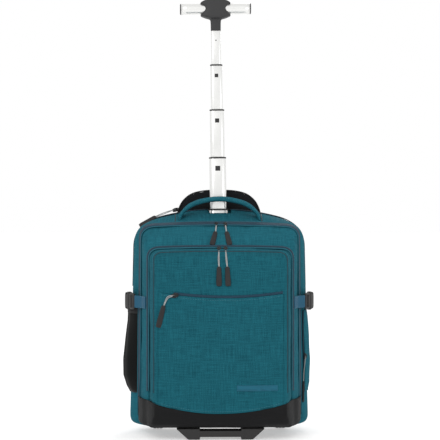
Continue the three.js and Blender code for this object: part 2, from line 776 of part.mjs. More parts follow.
// Side pockets: cloth that stands off the side of the bag by a bulge
function pouch({ side, low, high, front, back, bulge, rows, open }) {
  const reach = zipHalfLow - 40;
  const across = 8;
  const ring = (height, share, extra, drop) => {
    const z = THREE.MathUtils.lerp(low, high, height) + drop;
    const points = [];
    for (let k = 0; k <= across; k++) {
      const t = k / across;
      const y = THREE.MathUtils.lerp(front, back, t);
      const stand = bulge * share * Math.sin(Math.PI * t) ** 0.7;
      points.push(at(side * (sideAt(side, y, Math.min(z, high)) + fit + stand + extra), y, z));
    }
    return [at(side * reach, front, z), ...points, at(side * reach, back, z)];
  };
  const outer = solid(ringSkin(rows.map((row) => ring(row.height, row.share, pouchCloth, 0))));
  const hollow = rows.map((row, k) => {
    const last = k === rows.length - 1;
    const drop = k === 0 ? pouchCloth : 0;
    return ring(row.height, row.share, -1, last && open ? 5 : drop);
  });
  return largest(outer.subtract(solid(ringSkin(hollow))).subtract(bagCover));
}
piece('bottle_pocket', pouch({
  side: -1, low: bottleLow, high: bottleHigh, front: bottleFront, back: bottleBack, bulge: bottleBulge,
  open: true,
  rows: [
    { height: 0, share: 0.1 }, { height: 0.07, share: 0.5 }, { height: 0.2, share: 0.95 },
    { height: 0.4, share: 1 }, { height: 0.65, share: 0.76 }, { height: 0.87, share: 0.53 },
    { height: 1, share: 0.5 },
  ],
}), mesh);
piece('side_pocket', pouch({
  side: 1, low: sideLow, high: sideHigh, front: sideFront + sideZipWide + fit, back: sideBack,
  bulge: sideBulge, open: false,
  rows: [
    { height: 0, share: 0.05 }, { height: 0.1, share: 0.7 }, { height: 0.4, share: 1 },
    { height: 0.7, share: 0.8 }, { height: 0.92, share: 0.4 }, { height: 1, share: 0.05 },
  ],
}), teal);
piece('side_pocket_zip', largest(bagForm(fit + tapeProud).subtract(bagForm(fit)).intersect(box(
  at(zipHalfLow / 2, sideFront, sideLow + 14), at(farOut, sideFront + sideZipWide, sideHigh)))), tealTape);

// Wheels
eachSide((name, side) => {
  const middle = side * wheelX;
  const half = wheelWide / 2;
  let housing = solid(sidePrism(housingShape(0), middle - housingHalf, middle + housingHalf));
  housing = housing.subtract(acrossCylinder(cavityRadius, half + wheelGap, middle, 20));
  housing = housing.subtract(box(at(middle - half - wheelGap, wheelY - cavityRadius, -10),
    at(middle + half + wheelGap, wheelY + cavityRadius, wheelRadius)));
  piece(`wheel_housing_${name}`, housing.add(acrossCylinder(axleRadius, housingHalf, middle, 12)), plastic);

  const rim = wheelRadius - tyreThick;
  const round = 3.5;
  const spin = (points) => {
    const geometry = new THREE.LatheGeometry(points.map(([r, x]) => new THREE.Vector2(r, x)), 18);
    geometry.rotateZ(Math.PI / 2);
    geometry.translate(middle, wheelY, wheelRadius);
    return geometry;
  };
  const shoulder = wheelRadius - round;
  piece(`wheel_tyre_${name}`, spin([[rim, -half + 1], [shoulder, -half], [wheelRadius, -half + round],
    [wheelRadius, half - round], [shoulder, half], [rim, half - 1], [rim, -half + 1]]), rubber);
  const bore = axleRadius + fit;
  const web = rim * 0.55;
  piece(`wheel_hub_${name}`, spin([[bore, -half], [web, -half], [web + 2, -hubDish], [rim - fit, -hubDish],
    [rim - fit, hubDish], [web + 2, hubDish], [web, half], [bore, half], [bore, -half]]), plastic);
});

// Chassis between the housings, with a kick plate up the back and a socket round the pole
const chassisHalf = wheelX - housingHalf - fit;
const socketWall = 3;
const socketHigh = 26;
const chassisTop = bagLow - fit;
const chassisLow = chassisTop - chassisThick;
const chassisBack = panelFront + kickThick;
const socketPrism = (grow, from, to) => solid(inBag(topPrism(tubeProfile(stageWidth[4], grow), from, to, 2)));
const socketTop = chassisTop + socketHigh;
const insideOnly = box(at(-farOut, -farOut, chassisLow), at(farOut, rearFace - cloth - fit, 2 * farOut));
const chassis = box(at(-chassisHalf, housingFront - 12, chassisLow), at(chassisHalf, chassisBack, chassisTop))
  .add(box(at(-chassisHalf, panelFront, chassisLow), at(chassisHalf, chassisBack, kickHigh)))
  .add(socketPrism(socketWall, chassisTop - 2, socketTop).intersect(insideOnly))
  .subtract(socketPrism(fit, chassisTop, socketTop + 5));
piece('chassis', chassis, plastic);
const rearPiece = bag.children.find((part) => part.name === 'rear_compartment');
const floorOnly = box(at(-farOut, -farOut, -10), at(farOut, rearFace - cloth, bagLow + cloth + 8));
const socketHole = socketPrism(socketWall + fit, chassisTop - 10, socketTop + 5).intersect(floorOnly);
rearPiece.geometry = geometryOf(largest(solid(rearPiece.geometry).subtract(socketHole)));

// Front foot: two legs and the bar between them
const footTop = bottomZ - fit;
const [footFront, footBack] = [footY - footDeep / 2, footY + footDeep / 2];
const leg = (side) => solid(frontPrism(polygon([
  [side * footLegInner, 0], [side * footLegOuter, 0],
  [side * footTopHalf, footTop], [side * footLegInner, footTop],
]), footFront, footBack));
const footBar = box(at(-footLegInner - 1, footFront, barLow), at(footLegInner + 1, footBack, barHigh));
piece('front_foot', leg(-1).add(leg(1)).add(footBar), plastic);

// Pole tubes, collars and lock windows
bag.add(pole);
const last = stageWidth.length - 1;
stageWidth.forEach((width, stage) => {
  const outermost = stage === last;
  const top = stageTop[stage];
  const bottom = outermost ? chassisTop + fit : stageTop[stage + 1] - stageOverlap;
  let body = solid(tube(width, bottom, top, 0, -poleWall));
  const frontFace = -(width - poleDepthLess) / 2;
  if (stage > 0 && !outermost) {
    const half = windowSize[stage] / 2;
    const hole = half + fit;
    const z = top - windowDrop;
    const backFace = frontFace + poleWall;
    body = body.subtract(box(at(-hole, frontFace - 2, z - hole), at(hole, backFace + fit, z + hole)));
    piece(`pole_lock_${stage + 1}`,
      box(at(-half, frontFace - lockProud, z - half), at(half, backFace, z + half)), plastic, pole);
  }
  piece(outermost ? 'pole_outer_tube' : `pole_stage_${stage + 1}`, body, silver, pole);
  if (stage > 0) {
    const inner = stageWidth[stage - 1];
    const growth = (width - inner) / 2;
    const flange = tube(inner, top + fit, top + fit + collarHigh, growth + collarProud, fit);
    piece(outermost ? 'pole_grommet' : `pole_collar_${stage + 1}`, solid(flange), plastic, pole);
  }
});

// T handle: hub, bar, end caps and release button
const hubRight = [[0, hubHigh], [0.69, hubHigh * 0.95], [1, hubHigh * 0.63]];
const hubCurve = new THREE.QuadraticBezierCurve(
  new THREE.Vector2(hubHalf, hubHigh * 0.63), new THREE.Vector2(hubWaist - (hubHalf - hubWaist), 0),
  new THREE.Vector2(hubHalf, -hubHigh * 0.72));
const neckTop = stageWidth[0] / 2 + 0.8;
const hubSide = [...hubRight.slice(1, 2).map(([x, z]) => [x * hubHalf, z]),
  ...hubCurve.getPoints(6).map((point) => [point.x, point.y]),
  [hubHalf * 0.62, -hubHigh], [neckTop, -hubHigh - 1.4], [neckTop - 0.4, stageTop[0] + fit - barAxis]];
const hubOutline = [...hubSide, ...hubSide.map(([x, z]) => [-x, z]).reverse()];
const hubPrism = frontPrism(polygon(hubOutline.map(([x, z]) => [x, z + barAxis])), -hubDeep / 2, hubDeep / 2);
const neckDeep = (stageWidth[0] - poleDepthLess) / 2 + 1;
const neckKeep = box(at(-60, -hubDeep, barAxis - hubHigh - 1), at(60, hubDeep, barAxis + 60))
  .add(box(at(-60, -neckDeep, stageTop[0] - 5), at(60, neckDeep, barAxis)));
const neckPlug = solid(topPrism(
  tubeProfile(stageWidth[0], -poleWall - fit), stageTop[0] - plugLong, stageTop[0] + 2, 2));
const rod = (radius, half) => {
  const geometry = new THREE.CylinderGeometry(radius, radius, 2 * half, 20);
  geometry.rotateZ(Math.PI / 2);
  geometry.translate(0, 0, barAxis);
  return solid(geometry);
};
const buttonHole = box(at(-buttonWide / 2 - fit, -buttonDeep / 2 - fit, barAxis + buttonFloor),
  at(buttonWide / 2 + fit, buttonDeep / 2 + fit, barAxis + hubHigh + 5));
piece('handle_hub', solid(hubPrism).intersect(neckKeep).add(neckPlug)
  .subtract(rod(barRadius + fit, barHalf)).subtract(buttonHole), plastic, pole);
piece('handle_bar', rod(barRadius, barHalf).subtract(rod(barRadius - barWall, barHalf + 1)), silver, pole);
const buttonLow = barAxis + buttonFloor + buttonTravel + fit;
piece('release_button', box(at(-buttonWide / 2, -buttonDeep / 2, buttonLow),
  at(buttonWide / 2, buttonDeep / 2, barAxis + hubHigh + buttonProud)), pale, pole);

// Zip pulls: slider, cord loop and moulded grip, lying on the cloth below the zip
function zipPull(name, { slider, bend, knot, end, away, target, ride = tapeProud }) {
  const lay = (point, lift) => touch(target, point.clone().addScaledVector(away, 500), away.clone().negate())
    .addScaledVector(away, lift);
  const path = new THREE.CatmullRomCurve3([
    lay(slider, ride + sliderThick / 2 + fit),
    lay(bend, ride + cordRadius + fit),
    lay(knot, gripTabThick / 2 + 2 * fit)]);
  const section = polygon([0, 1, 2, 3, 4].map((k) => {
    const turn = (2 * Math.PI * k) / 5;
    return [cordRadius * Math.cos(turn), cordRadius * Math.sin(turn)];
  }));
  const cord = solid(new THREE.ExtrudeGeometry(section, {
    steps: 4, bevelEnabled: false, extrudePath: path,
  }));
  const block = (from, to, startWide, endWide, thick) => {
    const along = new THREE.Vector3().subVectors(to, from);
    const length = along.length();
    along.normalize();
    const across = new THREE.Vector3().crossVectors(along, away).normalize();
    const up = new THREE.Vector3().crossVectors(across, along).normalize();
    const corners = [[-1, 0], [-0.8, 1], [0.8, 1], [1, 0], [0.8, -1], [-0.8, -1]];
    const rings = [[0, 0.72, 0.7], [0.08, 1, 1], [0.92, 1, 1], [1, 0.72, 0.7]].map(([share, wide, deep]) => {
      const half = (THREE.MathUtils.lerp(startWide, endWide, share) / 2) * wide;
      return corners.map(([a, b]) => from.clone().addScaledVector(along, share * length)
        .addScaledVector(across, a * half).addScaledVector(up, (b * thick * deep) / 2));
    });
    return solid(ringSkin(rings));
  };
  const top = path.getPoint(0);
  const down = path.getTangent(0);
  const sliderBlock = block(top.clone().addScaledVector(down, -sliderLong * 0.6),
    top.clone().addScaledVector(down, sliderLong * 0.4), sliderWide, sliderWide * 0.8, sliderThick);
  const gripTop = path.getPoint(1);
  const gripEnd = lay(end, gripTabThick / 2 + 2 * fit);
  const gripStart = gripTop.clone().addScaledVector(path.getTangent(1), -2);
  const grip = block(gripStart, gripEnd, gripTopWide, gripEndWide, gripTabThick);
  piece(name, largest(cord.add(sliderBlock).add(grip).subtract(target.userData.keepOut)), rubber);
}
const zipCover = bagCover.add(layerForm(rearLayer, fit + tapeProud + fit).intersect(box(
    at(-farOut, rearZipY - rearZipWide - fit, beltZ), at(farOut, rearZipY + fit, 800))));
bagProbe.userData.keepOut = zipCover;
const pocketCover = layerForm(pocketLayer, fit, pocketTape)
  .add(layerForm(pocketLayer, flatCloth + 2 * fit, 0).intersect(
    facePrism(-flatHalf - fit, flatHalf + fit, seamZ, (x) => flatZip(x) + flatZipWidth + fit)))
  .add(solid(frontPrism(polygon(pocketOutline(tapeProud + fit, pocketLow)), pocketRim, mainFace)));
pocketProbe.userData.keepOut = pocketCover;
const sideProbe = probe(bagForm(fit + tapeProud));
sideProbe.userData.keepOut = bagForm(2 * fit + tapeProud);
const upperProbe = probe(layerForm(pocketLayer, fit, pocketTape));
upperProbe.userData.keepOut = pocketCover;
const front = at(0, -1, 0);
const frontPull = (name, target, rows, ride) => zipPull(name, {
  slider: at(rows[0][0], 0, rows[0][1]), bend: at(rows[1][0], 0, rows[1][1]),
  knot: at(rows[2][0], 0, rows[2][1]), end: at(rows[3][0], 0, rows[3][1]), away: front, target, ride,
});
const rows = (across, heights) => across.map((x, k) => [x, heights[k]]);
const below = (high, drops) => drops.map((drop) => high - drop);
const mainPullZ = below(zipHigh, mainPullDrop);
frontPull('zip_pull_main_left', bagProbe, rows(mainPullLeft, mainPullZ));
frontPull('zip_pull_main_right', bagProbe, rows(mainPullRight, mainPullZ));
const pocketPullZ = below(pocketHigh, pocketPullDrop);
frontPull('zip_pull_pocket_left', upperProbe, rows(pocketPullLeft, pocketPullZ), 0);
frontPull('zip_pull_pocket_right', upperProbe, rows(pocketPullRight, pocketPullZ), 0);
const flatPullX = below(flatZipStart, flatPullOut);
frontPull('zip_pull_flat_pocket', pocketProbe, rows(flatPullX, below(flatZipLow, flatPullDrop)), 0);

const [rearSlider, rearBend, rearKnot, rearEnd] = rearPullIn.map((inset, k) => at(
  inset - zipHalfLow, rearZipY - rearPullFront[k], zipHigh + rearPullRise[k]));
zipPull('zip_pull_rear', {
  slider: rearSlider, bend: rearBend, knot: rearKnot, end: rearEnd,
  away: at(-0.5, 0, 0.866), target: bagProbe,
});
const sideZipMiddle = sideFront + sideZipWide / 2;
const [sideSlider, sideBend, sideKnot, sideEnd] = sidePullRise.map((rise) => sideLow + rise);
zipPull('zip_pull_side', {
  slider: at(0, sideZipMiddle, sideSlider), bend: at(0, sideZipMiddle - 2, sideBend),
  knot: at(0, sideZipMiddle - 2, sideKnot), end: at(0, sideFront, sideEnd),
  away: at(1, 0, 0), target: sideProbe,
});

export default bag;
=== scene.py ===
# %% [markdown]
# A wheeled backpack in teal melange cloth: three soft layers on two wheels and a front foot, with a
# telescopic pole drawn fully out. The lesson loads the measured CAD frame first, because each visible
# piece is fitted over one of its solids. All shapes below are written in millimetres and turned into
# metres only when a mesh is made.

# %% Load the frame
import math
from contextlib import contextmanager
from dataclasses import dataclass
import bmesh
import bpy
import numpy as np
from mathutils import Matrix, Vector
from mathutils.bvhtree import BVHTree


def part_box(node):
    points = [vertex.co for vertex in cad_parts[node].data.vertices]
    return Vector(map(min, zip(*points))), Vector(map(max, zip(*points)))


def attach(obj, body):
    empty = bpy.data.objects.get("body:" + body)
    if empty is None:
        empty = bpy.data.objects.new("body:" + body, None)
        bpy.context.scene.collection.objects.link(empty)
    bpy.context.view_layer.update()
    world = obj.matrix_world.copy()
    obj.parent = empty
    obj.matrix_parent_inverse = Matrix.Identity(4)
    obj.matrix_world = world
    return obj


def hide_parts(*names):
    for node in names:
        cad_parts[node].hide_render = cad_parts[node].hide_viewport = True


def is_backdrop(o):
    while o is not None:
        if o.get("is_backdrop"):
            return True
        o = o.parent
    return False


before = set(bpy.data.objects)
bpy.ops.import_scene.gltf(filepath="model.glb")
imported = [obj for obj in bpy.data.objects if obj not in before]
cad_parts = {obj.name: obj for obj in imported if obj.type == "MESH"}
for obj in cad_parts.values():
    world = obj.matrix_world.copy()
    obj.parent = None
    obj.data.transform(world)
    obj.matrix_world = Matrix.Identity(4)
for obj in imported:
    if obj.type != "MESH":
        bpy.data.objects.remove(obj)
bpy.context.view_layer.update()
MM = 0.001
SIDES = ((-1, "left"), (1, "right"))
rng = np.random.default_rng(7)


def box_mm(node):
    """Lowest and highest corner of a CAD node, in millimetres."""
    low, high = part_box(node)
    return np.array(low) / MM, np.array(high) / MM


# %% [markdown]
# Most pieces are lofts: closed or open rings of points joined by quads. A loft keeps the points in
# order, so a thickness, a subdivision or a crease can follow, and a row of rings is how a pattern
# cutter thinks of a bag too. The helper below makes the mesh and shades it smooth.

# %% Mesh helpers
def in_scene(name, data):
    """An object for a mesh, a light or a camera, linked into the scene."""
    obj = bpy.data.objects.new(name, data)
    bpy.context.scene.collection.objects.link(obj)
    return obj


def make(name, points, faces, material=None, smooth=True):
    mesh = bpy.data.meshes.new(name)
    mesh.from_pydata([tuple(float(c) * MM for c in p) for p in points], [], faces)
    mesh.validate()
    mesh.polygons.foreach_set("use_smooth", [smooth] * len(mesh.polygons))
    obj = in_scene(name, mesh)
    if material is not None:
        mesh.materials.append(material)
    return obj


def loft(rings, closed=True, cap_start=False, cap_end=False):
    """Points and quads through rings of equal count."""
    rings = [np.asarray(r, float) for r in rings]
    count = len(rings[0])
    points = np.concatenate(rings)
    faces = []
    span = count if closed else count - 1
    for r in range(len(rings) - 1):
        for k in range(span):
            a, b = r * count + k, r * count + (k + 1) % count
            faces.append((a, b, b + count, a + count))
    points = list(points)
    for ring, wanted in ((0, cap_start), (len(rings) - 1, cap_end)):
        if wanted:
            points.append(rings[ring].mean(0))
            hub = len(points) - 1
            for k in range(span):
                a, b = ring * count + k, ring * count + (k + 1) % count
                faces.append((hub, b, a) if ring == 0 else (hub, a, b))
    return points, faces


@contextmanager
def editing(obj):
    """Opens an object's mesh for editing and writes it back."""
    bm = bmesh.new()
    bm.from_mesh(obj.data)
    yield bm
    bm.to_mesh(obj.data)
    bm.free()


def outward(obj):
    """Turns all faces to look outwards."""
    with editing(obj) as bm:
        bmesh.ops.recalc_face_normals(bm, faces=bm.faces)
    return obj


def lofted(name, rings, material, closed=True, caps=False):
    """A loft through rings as an object, facing outwards."""
    points, faces = loft(rings, closed, caps, caps)
    return outward(make(name, points, faces, material))


def points_of(obj, what="co"):
    """An object's vertices as rows, in millimetres, or its normals."""
    values = np.zeros(len(obj.data.vertices) * 3)
    obj.data.vertices.foreach_get(what, values)
    return values.reshape(-1, 3) / (MM if what == "co" else 1)


def move_to(obj, points):
    """Gives an object's vertices new places, in millimetres."""
    obj.data.vertices.foreach_set("co", (points * MM).ravel())
    obj.data.update()
    return obj


def at_y(flat, y):
    """Points (x, z) of a front view set at one depth."""
    return np.stack([flat[:, 0], np.full(len(flat), y), flat[:, 1]], 1)


def unit(vector):
    return vector / np.linalg.norm(vector, axis=-1, keepdims=True)


def wiggled(path, swing, axis):
    """Every other point moved to either side: the spiral of a zip."""
    path = path.copy()
    path[::2, axis] += swing
    path[1::2, axis] -= swing
    return path


def apply_modifiers(obj):
    graph = bpy.context.evaluated_depsgraph_get()
    mesh = bpy.data.meshes.new_from_object(obj.evaluated_get(graph))
    obj.modifiers.clear()
    obj.data = mesh
    return obj


def thicken(obj, thickness, outwards=1):
    """Gives a sheet its cloth thickness, in millimetres."""
    solid = obj.modifiers.new("cloth", "SOLIDIFY")
    solid.thickness = thickness * MM
    solid.offset = outwards
    return apply_modifiers(obj)


def subdivide(obj, levels=1):
    sub = obj.modifiers.new("smooth", "SUBSURF")
    sub.levels = sub.render_levels = levels
    return apply_modifiers(obj)


def place(obj, body="root", replaces=()):
    """Hands a finished piece to the frame: its body and the CAD nodes it stands for."""
    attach(obj, body)
    if replaces:
        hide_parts(*replaces)
    return obj


def join(name, objs):
    """Joins pieces of one material into one mesh."""
    bm = bmesh.new()
    materials = []
    for o in objs:
        mesh = o.data
        offset = len(materials)
        materials.extend(mesh.materials)
        start = len(bm.faces)
        bm.from_mesh(mesh)
        bm.faces.ensure_lookup_table()
        for face in bm.faces[start:]:
            face.material_index += offset
    mesh = bpy.data.meshes.new(name)
    bm.to_mesh(mesh)
    bm.free()
    unique = list(dict.fromkeys(materials))
    index = np.zeros(len(mesh.polygons), int)
    mesh.polygons.foreach_get("material_index", index)
    for m in unique:
        mesh.materials.append(m)
    if unique:
        mesh.polygons.foreach_set("material_index", [unique.index(materials[i]) for i in index])
    for o in objs:
        bpy.data.objects.remove(o)
    obj = in_scene(name, mesh)
    return obj


def tube(name, path, radius, material, sides=8, closed=False, cap=True):
    """A round cord along points, its section carried without twist."""
    path = np.asarray(path, float)
    count = len(path)
    if closed:
        tangents = np.roll(path, -1, 0) - np.roll(path, 1, 0)
    else:
        tangents = np.gradient(path, axis=0)
    tangents = unit(tangents)
    side = unit(np.cross(tangents[0], (0.31, 0.52, 0.79)))
    rings = []
    radii = np.broadcast_to(radius, count)
    turn = np.arange(sides) * 2 * math.pi / sides
    for k in range(count):
        side = unit(side - tangents[k] * side.dot(tangents[k]))
        up = np.cross(tangents[k], side)
        ring = path[k] + radii[k] * (np.cos(turn)[:, None] * side + np.sin(turn)[:, None] * up)
        rings.append(ring)
    if closed:
        first, last = rings[0], rings[-1]
        shift = int(np.argmin([np.linalg.norm(np.roll(first, -s, 0) - last) for s in range(sides)]))
        rings.append(np.roll(first, -shift, 0))
    return lofted(name, rings, material, caps=cap and not closed)


def curve_points(points, count):
    """Points evenly spaced on a smooth curve through the given ones."""
    points = np.asarray(points, float)
    n = len(points)
    padded = np.vstack([2 * points[0] - points[1], points, 2 * points[-1] - points[-2]])
    fine = []
    for k in range(n - 1):
        p0, p1, p2, p3 = padded[k:k + 4]
        for t in np.linspace(0, 1, 24, endpoint=False):
            fine.append(0.5 * (2 * p1 + (p2 - p0) * t + (2 * p0 - 5 * p1 + 4 * p2 - p3) * t ** 2
                               + (3 * p1 - p0 - 3 * p2 + p3) * t ** 3))
    fine.append(points[-1])
    fine = np.array(fine)
    length = np.concatenate([[0], np.cumsum(np.linalg.norm(np.diff(fine, axis=0), axis=1))])
    wanted = np.linspace(0, length[-1], count)
    return np.stack([np.interp(wanted, length, fine[:, c]) for c in range(fine.shape[1])], 1)


# %% [markdown]
# Cloth is never quite smooth. Low, slow waves make a panel look filled by hand instead of pressed, so
# a small sum of sines with fixed phases is kept here: it costs nothing and gives the same result on
# every run. Creases are single ridges along a line, strongest in its middle.

# %% Cloth movement
waves = [(rng.uniform(-1, 1, 3), rng.uniform(0, 6.28)) for _ in range(14)]


def ripple(points, length=60.0):
    """Soft noise from -1 to 1 at each point, with the given wavelength in millimetres."""
    points = np.asarray(points, float)
    total = np.zeros(len(points))
    for k, (direction, phase) in enumerate(waves):
        scale = 2 * math.pi / (length * (0.6 + 0.09 * k))
        total += np.sin(points @ (direction / np.linalg.norm(direction)) * scale + phase)
    return total / 5.0


def crease(x, z, start, end, width):
    """A ridge from 0 to 1 along a line in the front view."""
    start, end = np.array(start, float), np.array(end, float)
    along = end - start
    length = np.linalg.norm(along)
    along /= length
    t = (x - start[0]) * along[0] + (z - start[1]) * along[1]
    off = -(x - start[0]) * along[1] + (z - start[1]) * along[0]
    inside = np.clip(t / length, 0, 1)
    return np.exp(-(off / width) ** 2) * np.sin(math.pi * inside) ** 0.8


def push(obj, amount):
    """Moves each vertex along its normal by amount(points) millimetres."""
    points = points_of(obj)
    return move_to(obj, points + points_of(obj, "normal") * np.asarray(amount(points))[:, None])


# %% [markdown]
# The cloth of this bag is a melange: two shades of teal thread woven together, with short thicker
# threads here and there that give it fine upright streaks. A photograph of cloth would be the quick
# way; nodes are kinder, because they can be scaled and tinted. Each effect is a shader node group with
# named sockets, made once and placed in every material that needs it.

# %% Node helpers
def new_group(name, inputs, outputs):
    """A shader node group; inputs are (name, type, default), outputs are (name, type)."""
    group = bpy.data.node_groups.new(name, "ShaderNodeTree")
    for label, kind, default in inputs:
        socket = group.interface.new_socket(label, in_out="INPUT", socket_type=f"NodeSocket{kind}")
        if default is not None:
            socket.default_value = default
    for label, kind in outputs:
        group.interface.new_socket(label, in_out="OUTPUT", socket_type=f"NodeSocket{kind}")
    return group, group.nodes.new("NodeGroupInput"), group.nodes.new("NodeGroupOutput")


def plug(tree, socket, value):
    """Links an output to a socket, or sets the socket to a number or a colour."""
    if isinstance(value, bpy.types.NodeSocket):
        tree.links.new(value, socket)
    else:
        socket.default_value = value


def node(tree, kind, values=(), **settings):
    """A shader node; each of its values is a socket, a number or a colour."""
    made = tree.nodes.new(f"ShaderNode{kind}")
    for key, value in settings.items():
        setattr(made, key, value)
    for key, value in dict(values).items():
        plug(tree, made.inputs[key], value)
    return made


def math_node(tree, operation, *operands):
    return node(tree, "Math", enumerate(operands), operation=operation).outputs[0]


def mix_colour(tree, factor, first, second):
    made = node(tree, "Mix", {0: factor, 6: first, 7: second}, data_type="RGBA", blend_type="MIX")
    return made.outputs[2]


def linear(red, green, blue):
    """A linear colour from the 0 to 255 values seen on a screen."""
    def one(value):
        value /= 255
        return value / 12.92 if value <= 0.04045 else ((value + 0.055) / 1.055) ** 2.4
    return (one(red), one(green), one(blue), 1.0)


# %% [markdown]
# Plain weave is a chequer of over and under: a sine across each thread gives its round back, and the
# chequer chooses which thread lies on top. The threads are 0.9 mm, drawn in the cloth's own flat
# coordinates, which each piece gets from its faces further down. The streaks are noise stretched
# thirty times along one thread direction.

# %% Weave group
weave, g_in, g_out = new_group(
    "melange_weave",
    [("Place", "Vector", None), ("Light Thread", "Color", (0.05, 0.2, 0.26, 1)),
     ("Dark Thread", "Color", (0.01, 0.05, 0.07, 1)), ("Thread", "Float", 0.9), ("Streaks", "Float", 0.5)],
    [("Color", "Color"), ("Height", "Float")])
scaled = node(
    weave, "VectorMath",
    {0: g_in.outputs["Place"], "Scale": math_node(weave, "DIVIDE", 1 / MM, g_in.outputs["Thread"])},
    operation="SCALE").outputs[0]
axes = node(weave, "SeparateXYZ", {0: scaled})
back_of_warp, back_of_weft = (
    math_node(weave, "ABSOLUTE", math_node(weave, "SINE", math_node(weave, "MULTIPLY", axis, math.pi)))
    for axis in axes.outputs[:2])
over = node(weave, "TexChecker", {"Vector": scaled, "Scale": 1.0}).outputs["Fac"]
under = math_node(weave, "SUBTRACT", 1.0, over)
height = math_node(weave, "ADD", math_node(weave, "MULTIPLY", over, back_of_warp),
                   math_node(weave, "MULTIPLY", under, back_of_weft))


def streak(stretch, scale, seed):
    mapping = node(weave, "Mapping", {"Vector": scaled, "Scale": stretch, "Location": (seed, seed, 0)})
    noise = node(weave, "TexNoise", {
        "Vector": mapping.outputs[0], "Scale": scale, "Detail": 2.0, "Roughness": 0.6})
    return node(weave, "MapRange", {
        "Value": noise.outputs["Fac"], "From Min": 0.36, "From Max": 0.64}).outputs[0]


upright = streak((1.0, 0.045, 1.0), 0.55, 3.0)
level = streak((0.05, 1.0, 1.0), 0.55, 11.0)
fine = node(weave, "TexNoise", {"Vector": scaled, "Scale": 0.8, "Detail": 1.0})
mottle = math_node(weave, "ADD", math_node(weave, "MULTIPLY", upright, over),
                   math_node(weave, "MULTIPLY", level, under))
mottle = math_node(weave, "MULTIPLY_ADD", math_node(
    weave, "SUBTRACT", mottle, 0.5), g_in.outputs["Streaks"], fine.outputs["Fac"])
plug(weave, g_out.inputs["Color"],
     mix_colour(weave, mottle, g_in.outputs["Dark Thread"], g_in.outputs["Light Thread"]))
plug(weave, g_out.inputs["Height"], math_node(weave, "MULTIPLY_ADD", mottle, 0.4, height))
print("weave group:", len(weave.nodes), "nodes")

# %% [markdown]
# Handling shows on every soft bag: a little dust in slow patches, a little lightening where hands and
# floors rub, here on sharp convex edges. One group makes both, the patches from slow noise in the object's
# own coordinates and the edges from the mesh's pointiness, and the materials decide how much of it they want.

# %% Handling group
handling, g_in, g_out = new_group(
    "handling",
    [("Color", "Color", (0.1, 0.1, 0.1, 1)), ("Rubbed", "Color", (0.3, 0.3, 0.3, 1)),
     ("Amount", "Float", 0.3), ("Roughness", "Float", 0.7)],
    [("Color", "Color"), ("Roughness", "Float")])
where = node(handling, "TexCoord").outputs["Object"]
cloudy = node(handling, "TexNoise", {"Vector": where, "Scale": 14.0, "Detail": 4.0, "Roughness": 0.65})
patch = node(handling, "MapRange", {
    "Value": cloudy.outputs["Fac"], "From Min": 0.42, "From Max": 0.75}).outputs[0]
edge = node(handling, "MapRange", {
    "Value": node(handling, "NewGeometry").outputs["Pointiness"], "From Min": 0.5, "From Max": 0.62})
worn = math_node(handling, "MULTIPLY", math_node(
    handling, "ADD", math_node(handling, "MULTIPLY", patch, 0.5), edge.outputs[0]), g_in.outputs["Amount"])
plug(handling, g_out.inputs["Color"],
     mix_colour(handling, worn, g_in.outputs["Color"], g_in.outputs["Rubbed"]))
plug(handling, g_out.inputs["Roughness"],
     math_node(handling, "MULTIPLY_ADD", patch, 0.12, g_in.outputs["Roughness"]))
print("handling group:", len(handling.nodes), "nodes")

# %% [markdown]
# Moulded plastic carries a fine spark-eroded grain, tape and webbing carry ribs, and spacer mesh and
# stretch net carry small round cells. The three height groups below cover all of them.

# %% Grain, rib and cell groups
grain, g_in, g_out = new_group("moulded_grain", [("Scale", "Float", 900.0)], [("Height", "Float")])
grain_noise = node(grain, "TexNoise", {
    "Vector": node(grain, "TexCoord").outputs["Object"], "Scale": g_in.outputs["Scale"],
    "Detail": 3.0, "Roughness": 0.55})
plug(grain, g_out.inputs["Height"], grain_noise.outputs["Fac"])

ribs, g_in, g_out = new_group(
    "woven_ribs", [("Place", "Vector", None), ("Along", "Float", 1.6), ("Across", "Float", 0.8)],
    [("Height", "Float")])
split = node(ribs, "SeparateXYZ", {0: g_in.outputs["Place"]})


def rib_wave(axis, size):
    turns = math_node(ribs, "DIVIDE", math_node(ribs, "MULTIPLY", split.outputs[axis], math.pi / MM), size)
    return math_node(ribs, "ABSOLUTE", math_node(ribs, "SINE", turns))


plug(ribs, g_out.inputs["Height"], math_node(
    ribs, "MULTIPLY_ADD", rib_wave(1, g_in.outputs["Across"]), 0.6, rib_wave(0, g_in.outputs["Along"])))

cells, g_in, g_out = new_group(
    "net_cells", [("Place", "Vector", None), ("Cell", "Float", 2.2)],
    [("Height", "Float"), ("Hole", "Float")])
cell_noise = node(cells, "TexVoronoi", {
    "Vector": g_in.outputs["Place"], "Scale": math_node(cells, "DIVIDE", 1 / MM, g_in.outputs["Cell"]),
    "Randomness": 0.18}).outputs["Distance"]
hole = node(cells, "MapRange", {
    "Value": cell_noise, "From Min": 0.25, "From Max": 0.42, "To Min": 1.0, "To Max": 0.0})
plug(cells, g_out.inputs["Height"], cell_noise)
plug(cells, g_out.inputs["Hole"], hole.outputs[0])
print("height groups:", grain.name, ribs.name, cells.name)

# %% [markdown]
# A finish is then short to write: one Principled shader, one colour that varies, one roughness that
# varies and one bump. Numbers that are the same all over, such as sheen, sit on the shader itself.

# %% Finishes
def finish_base(name, roughness, sheen=0.0, metallic=0.0, specular=0.5):
    material = bpy.data.materials.new(name)
    material.use_nodes = True
    shader = material.node_tree.nodes["Principled BSDF"]
    for label, value in (("Roughness", roughness), ("Metallic", metallic), ("Sheen Weight", sheen),
                         ("Sheen Roughness", 0.5), ("Coat Weight", 0.0), ("Coat Roughness", 0.35),
                         ("Specular IOR Level", specular)):
        shader.inputs[label].default_value = value
    return material, material.node_tree, shader


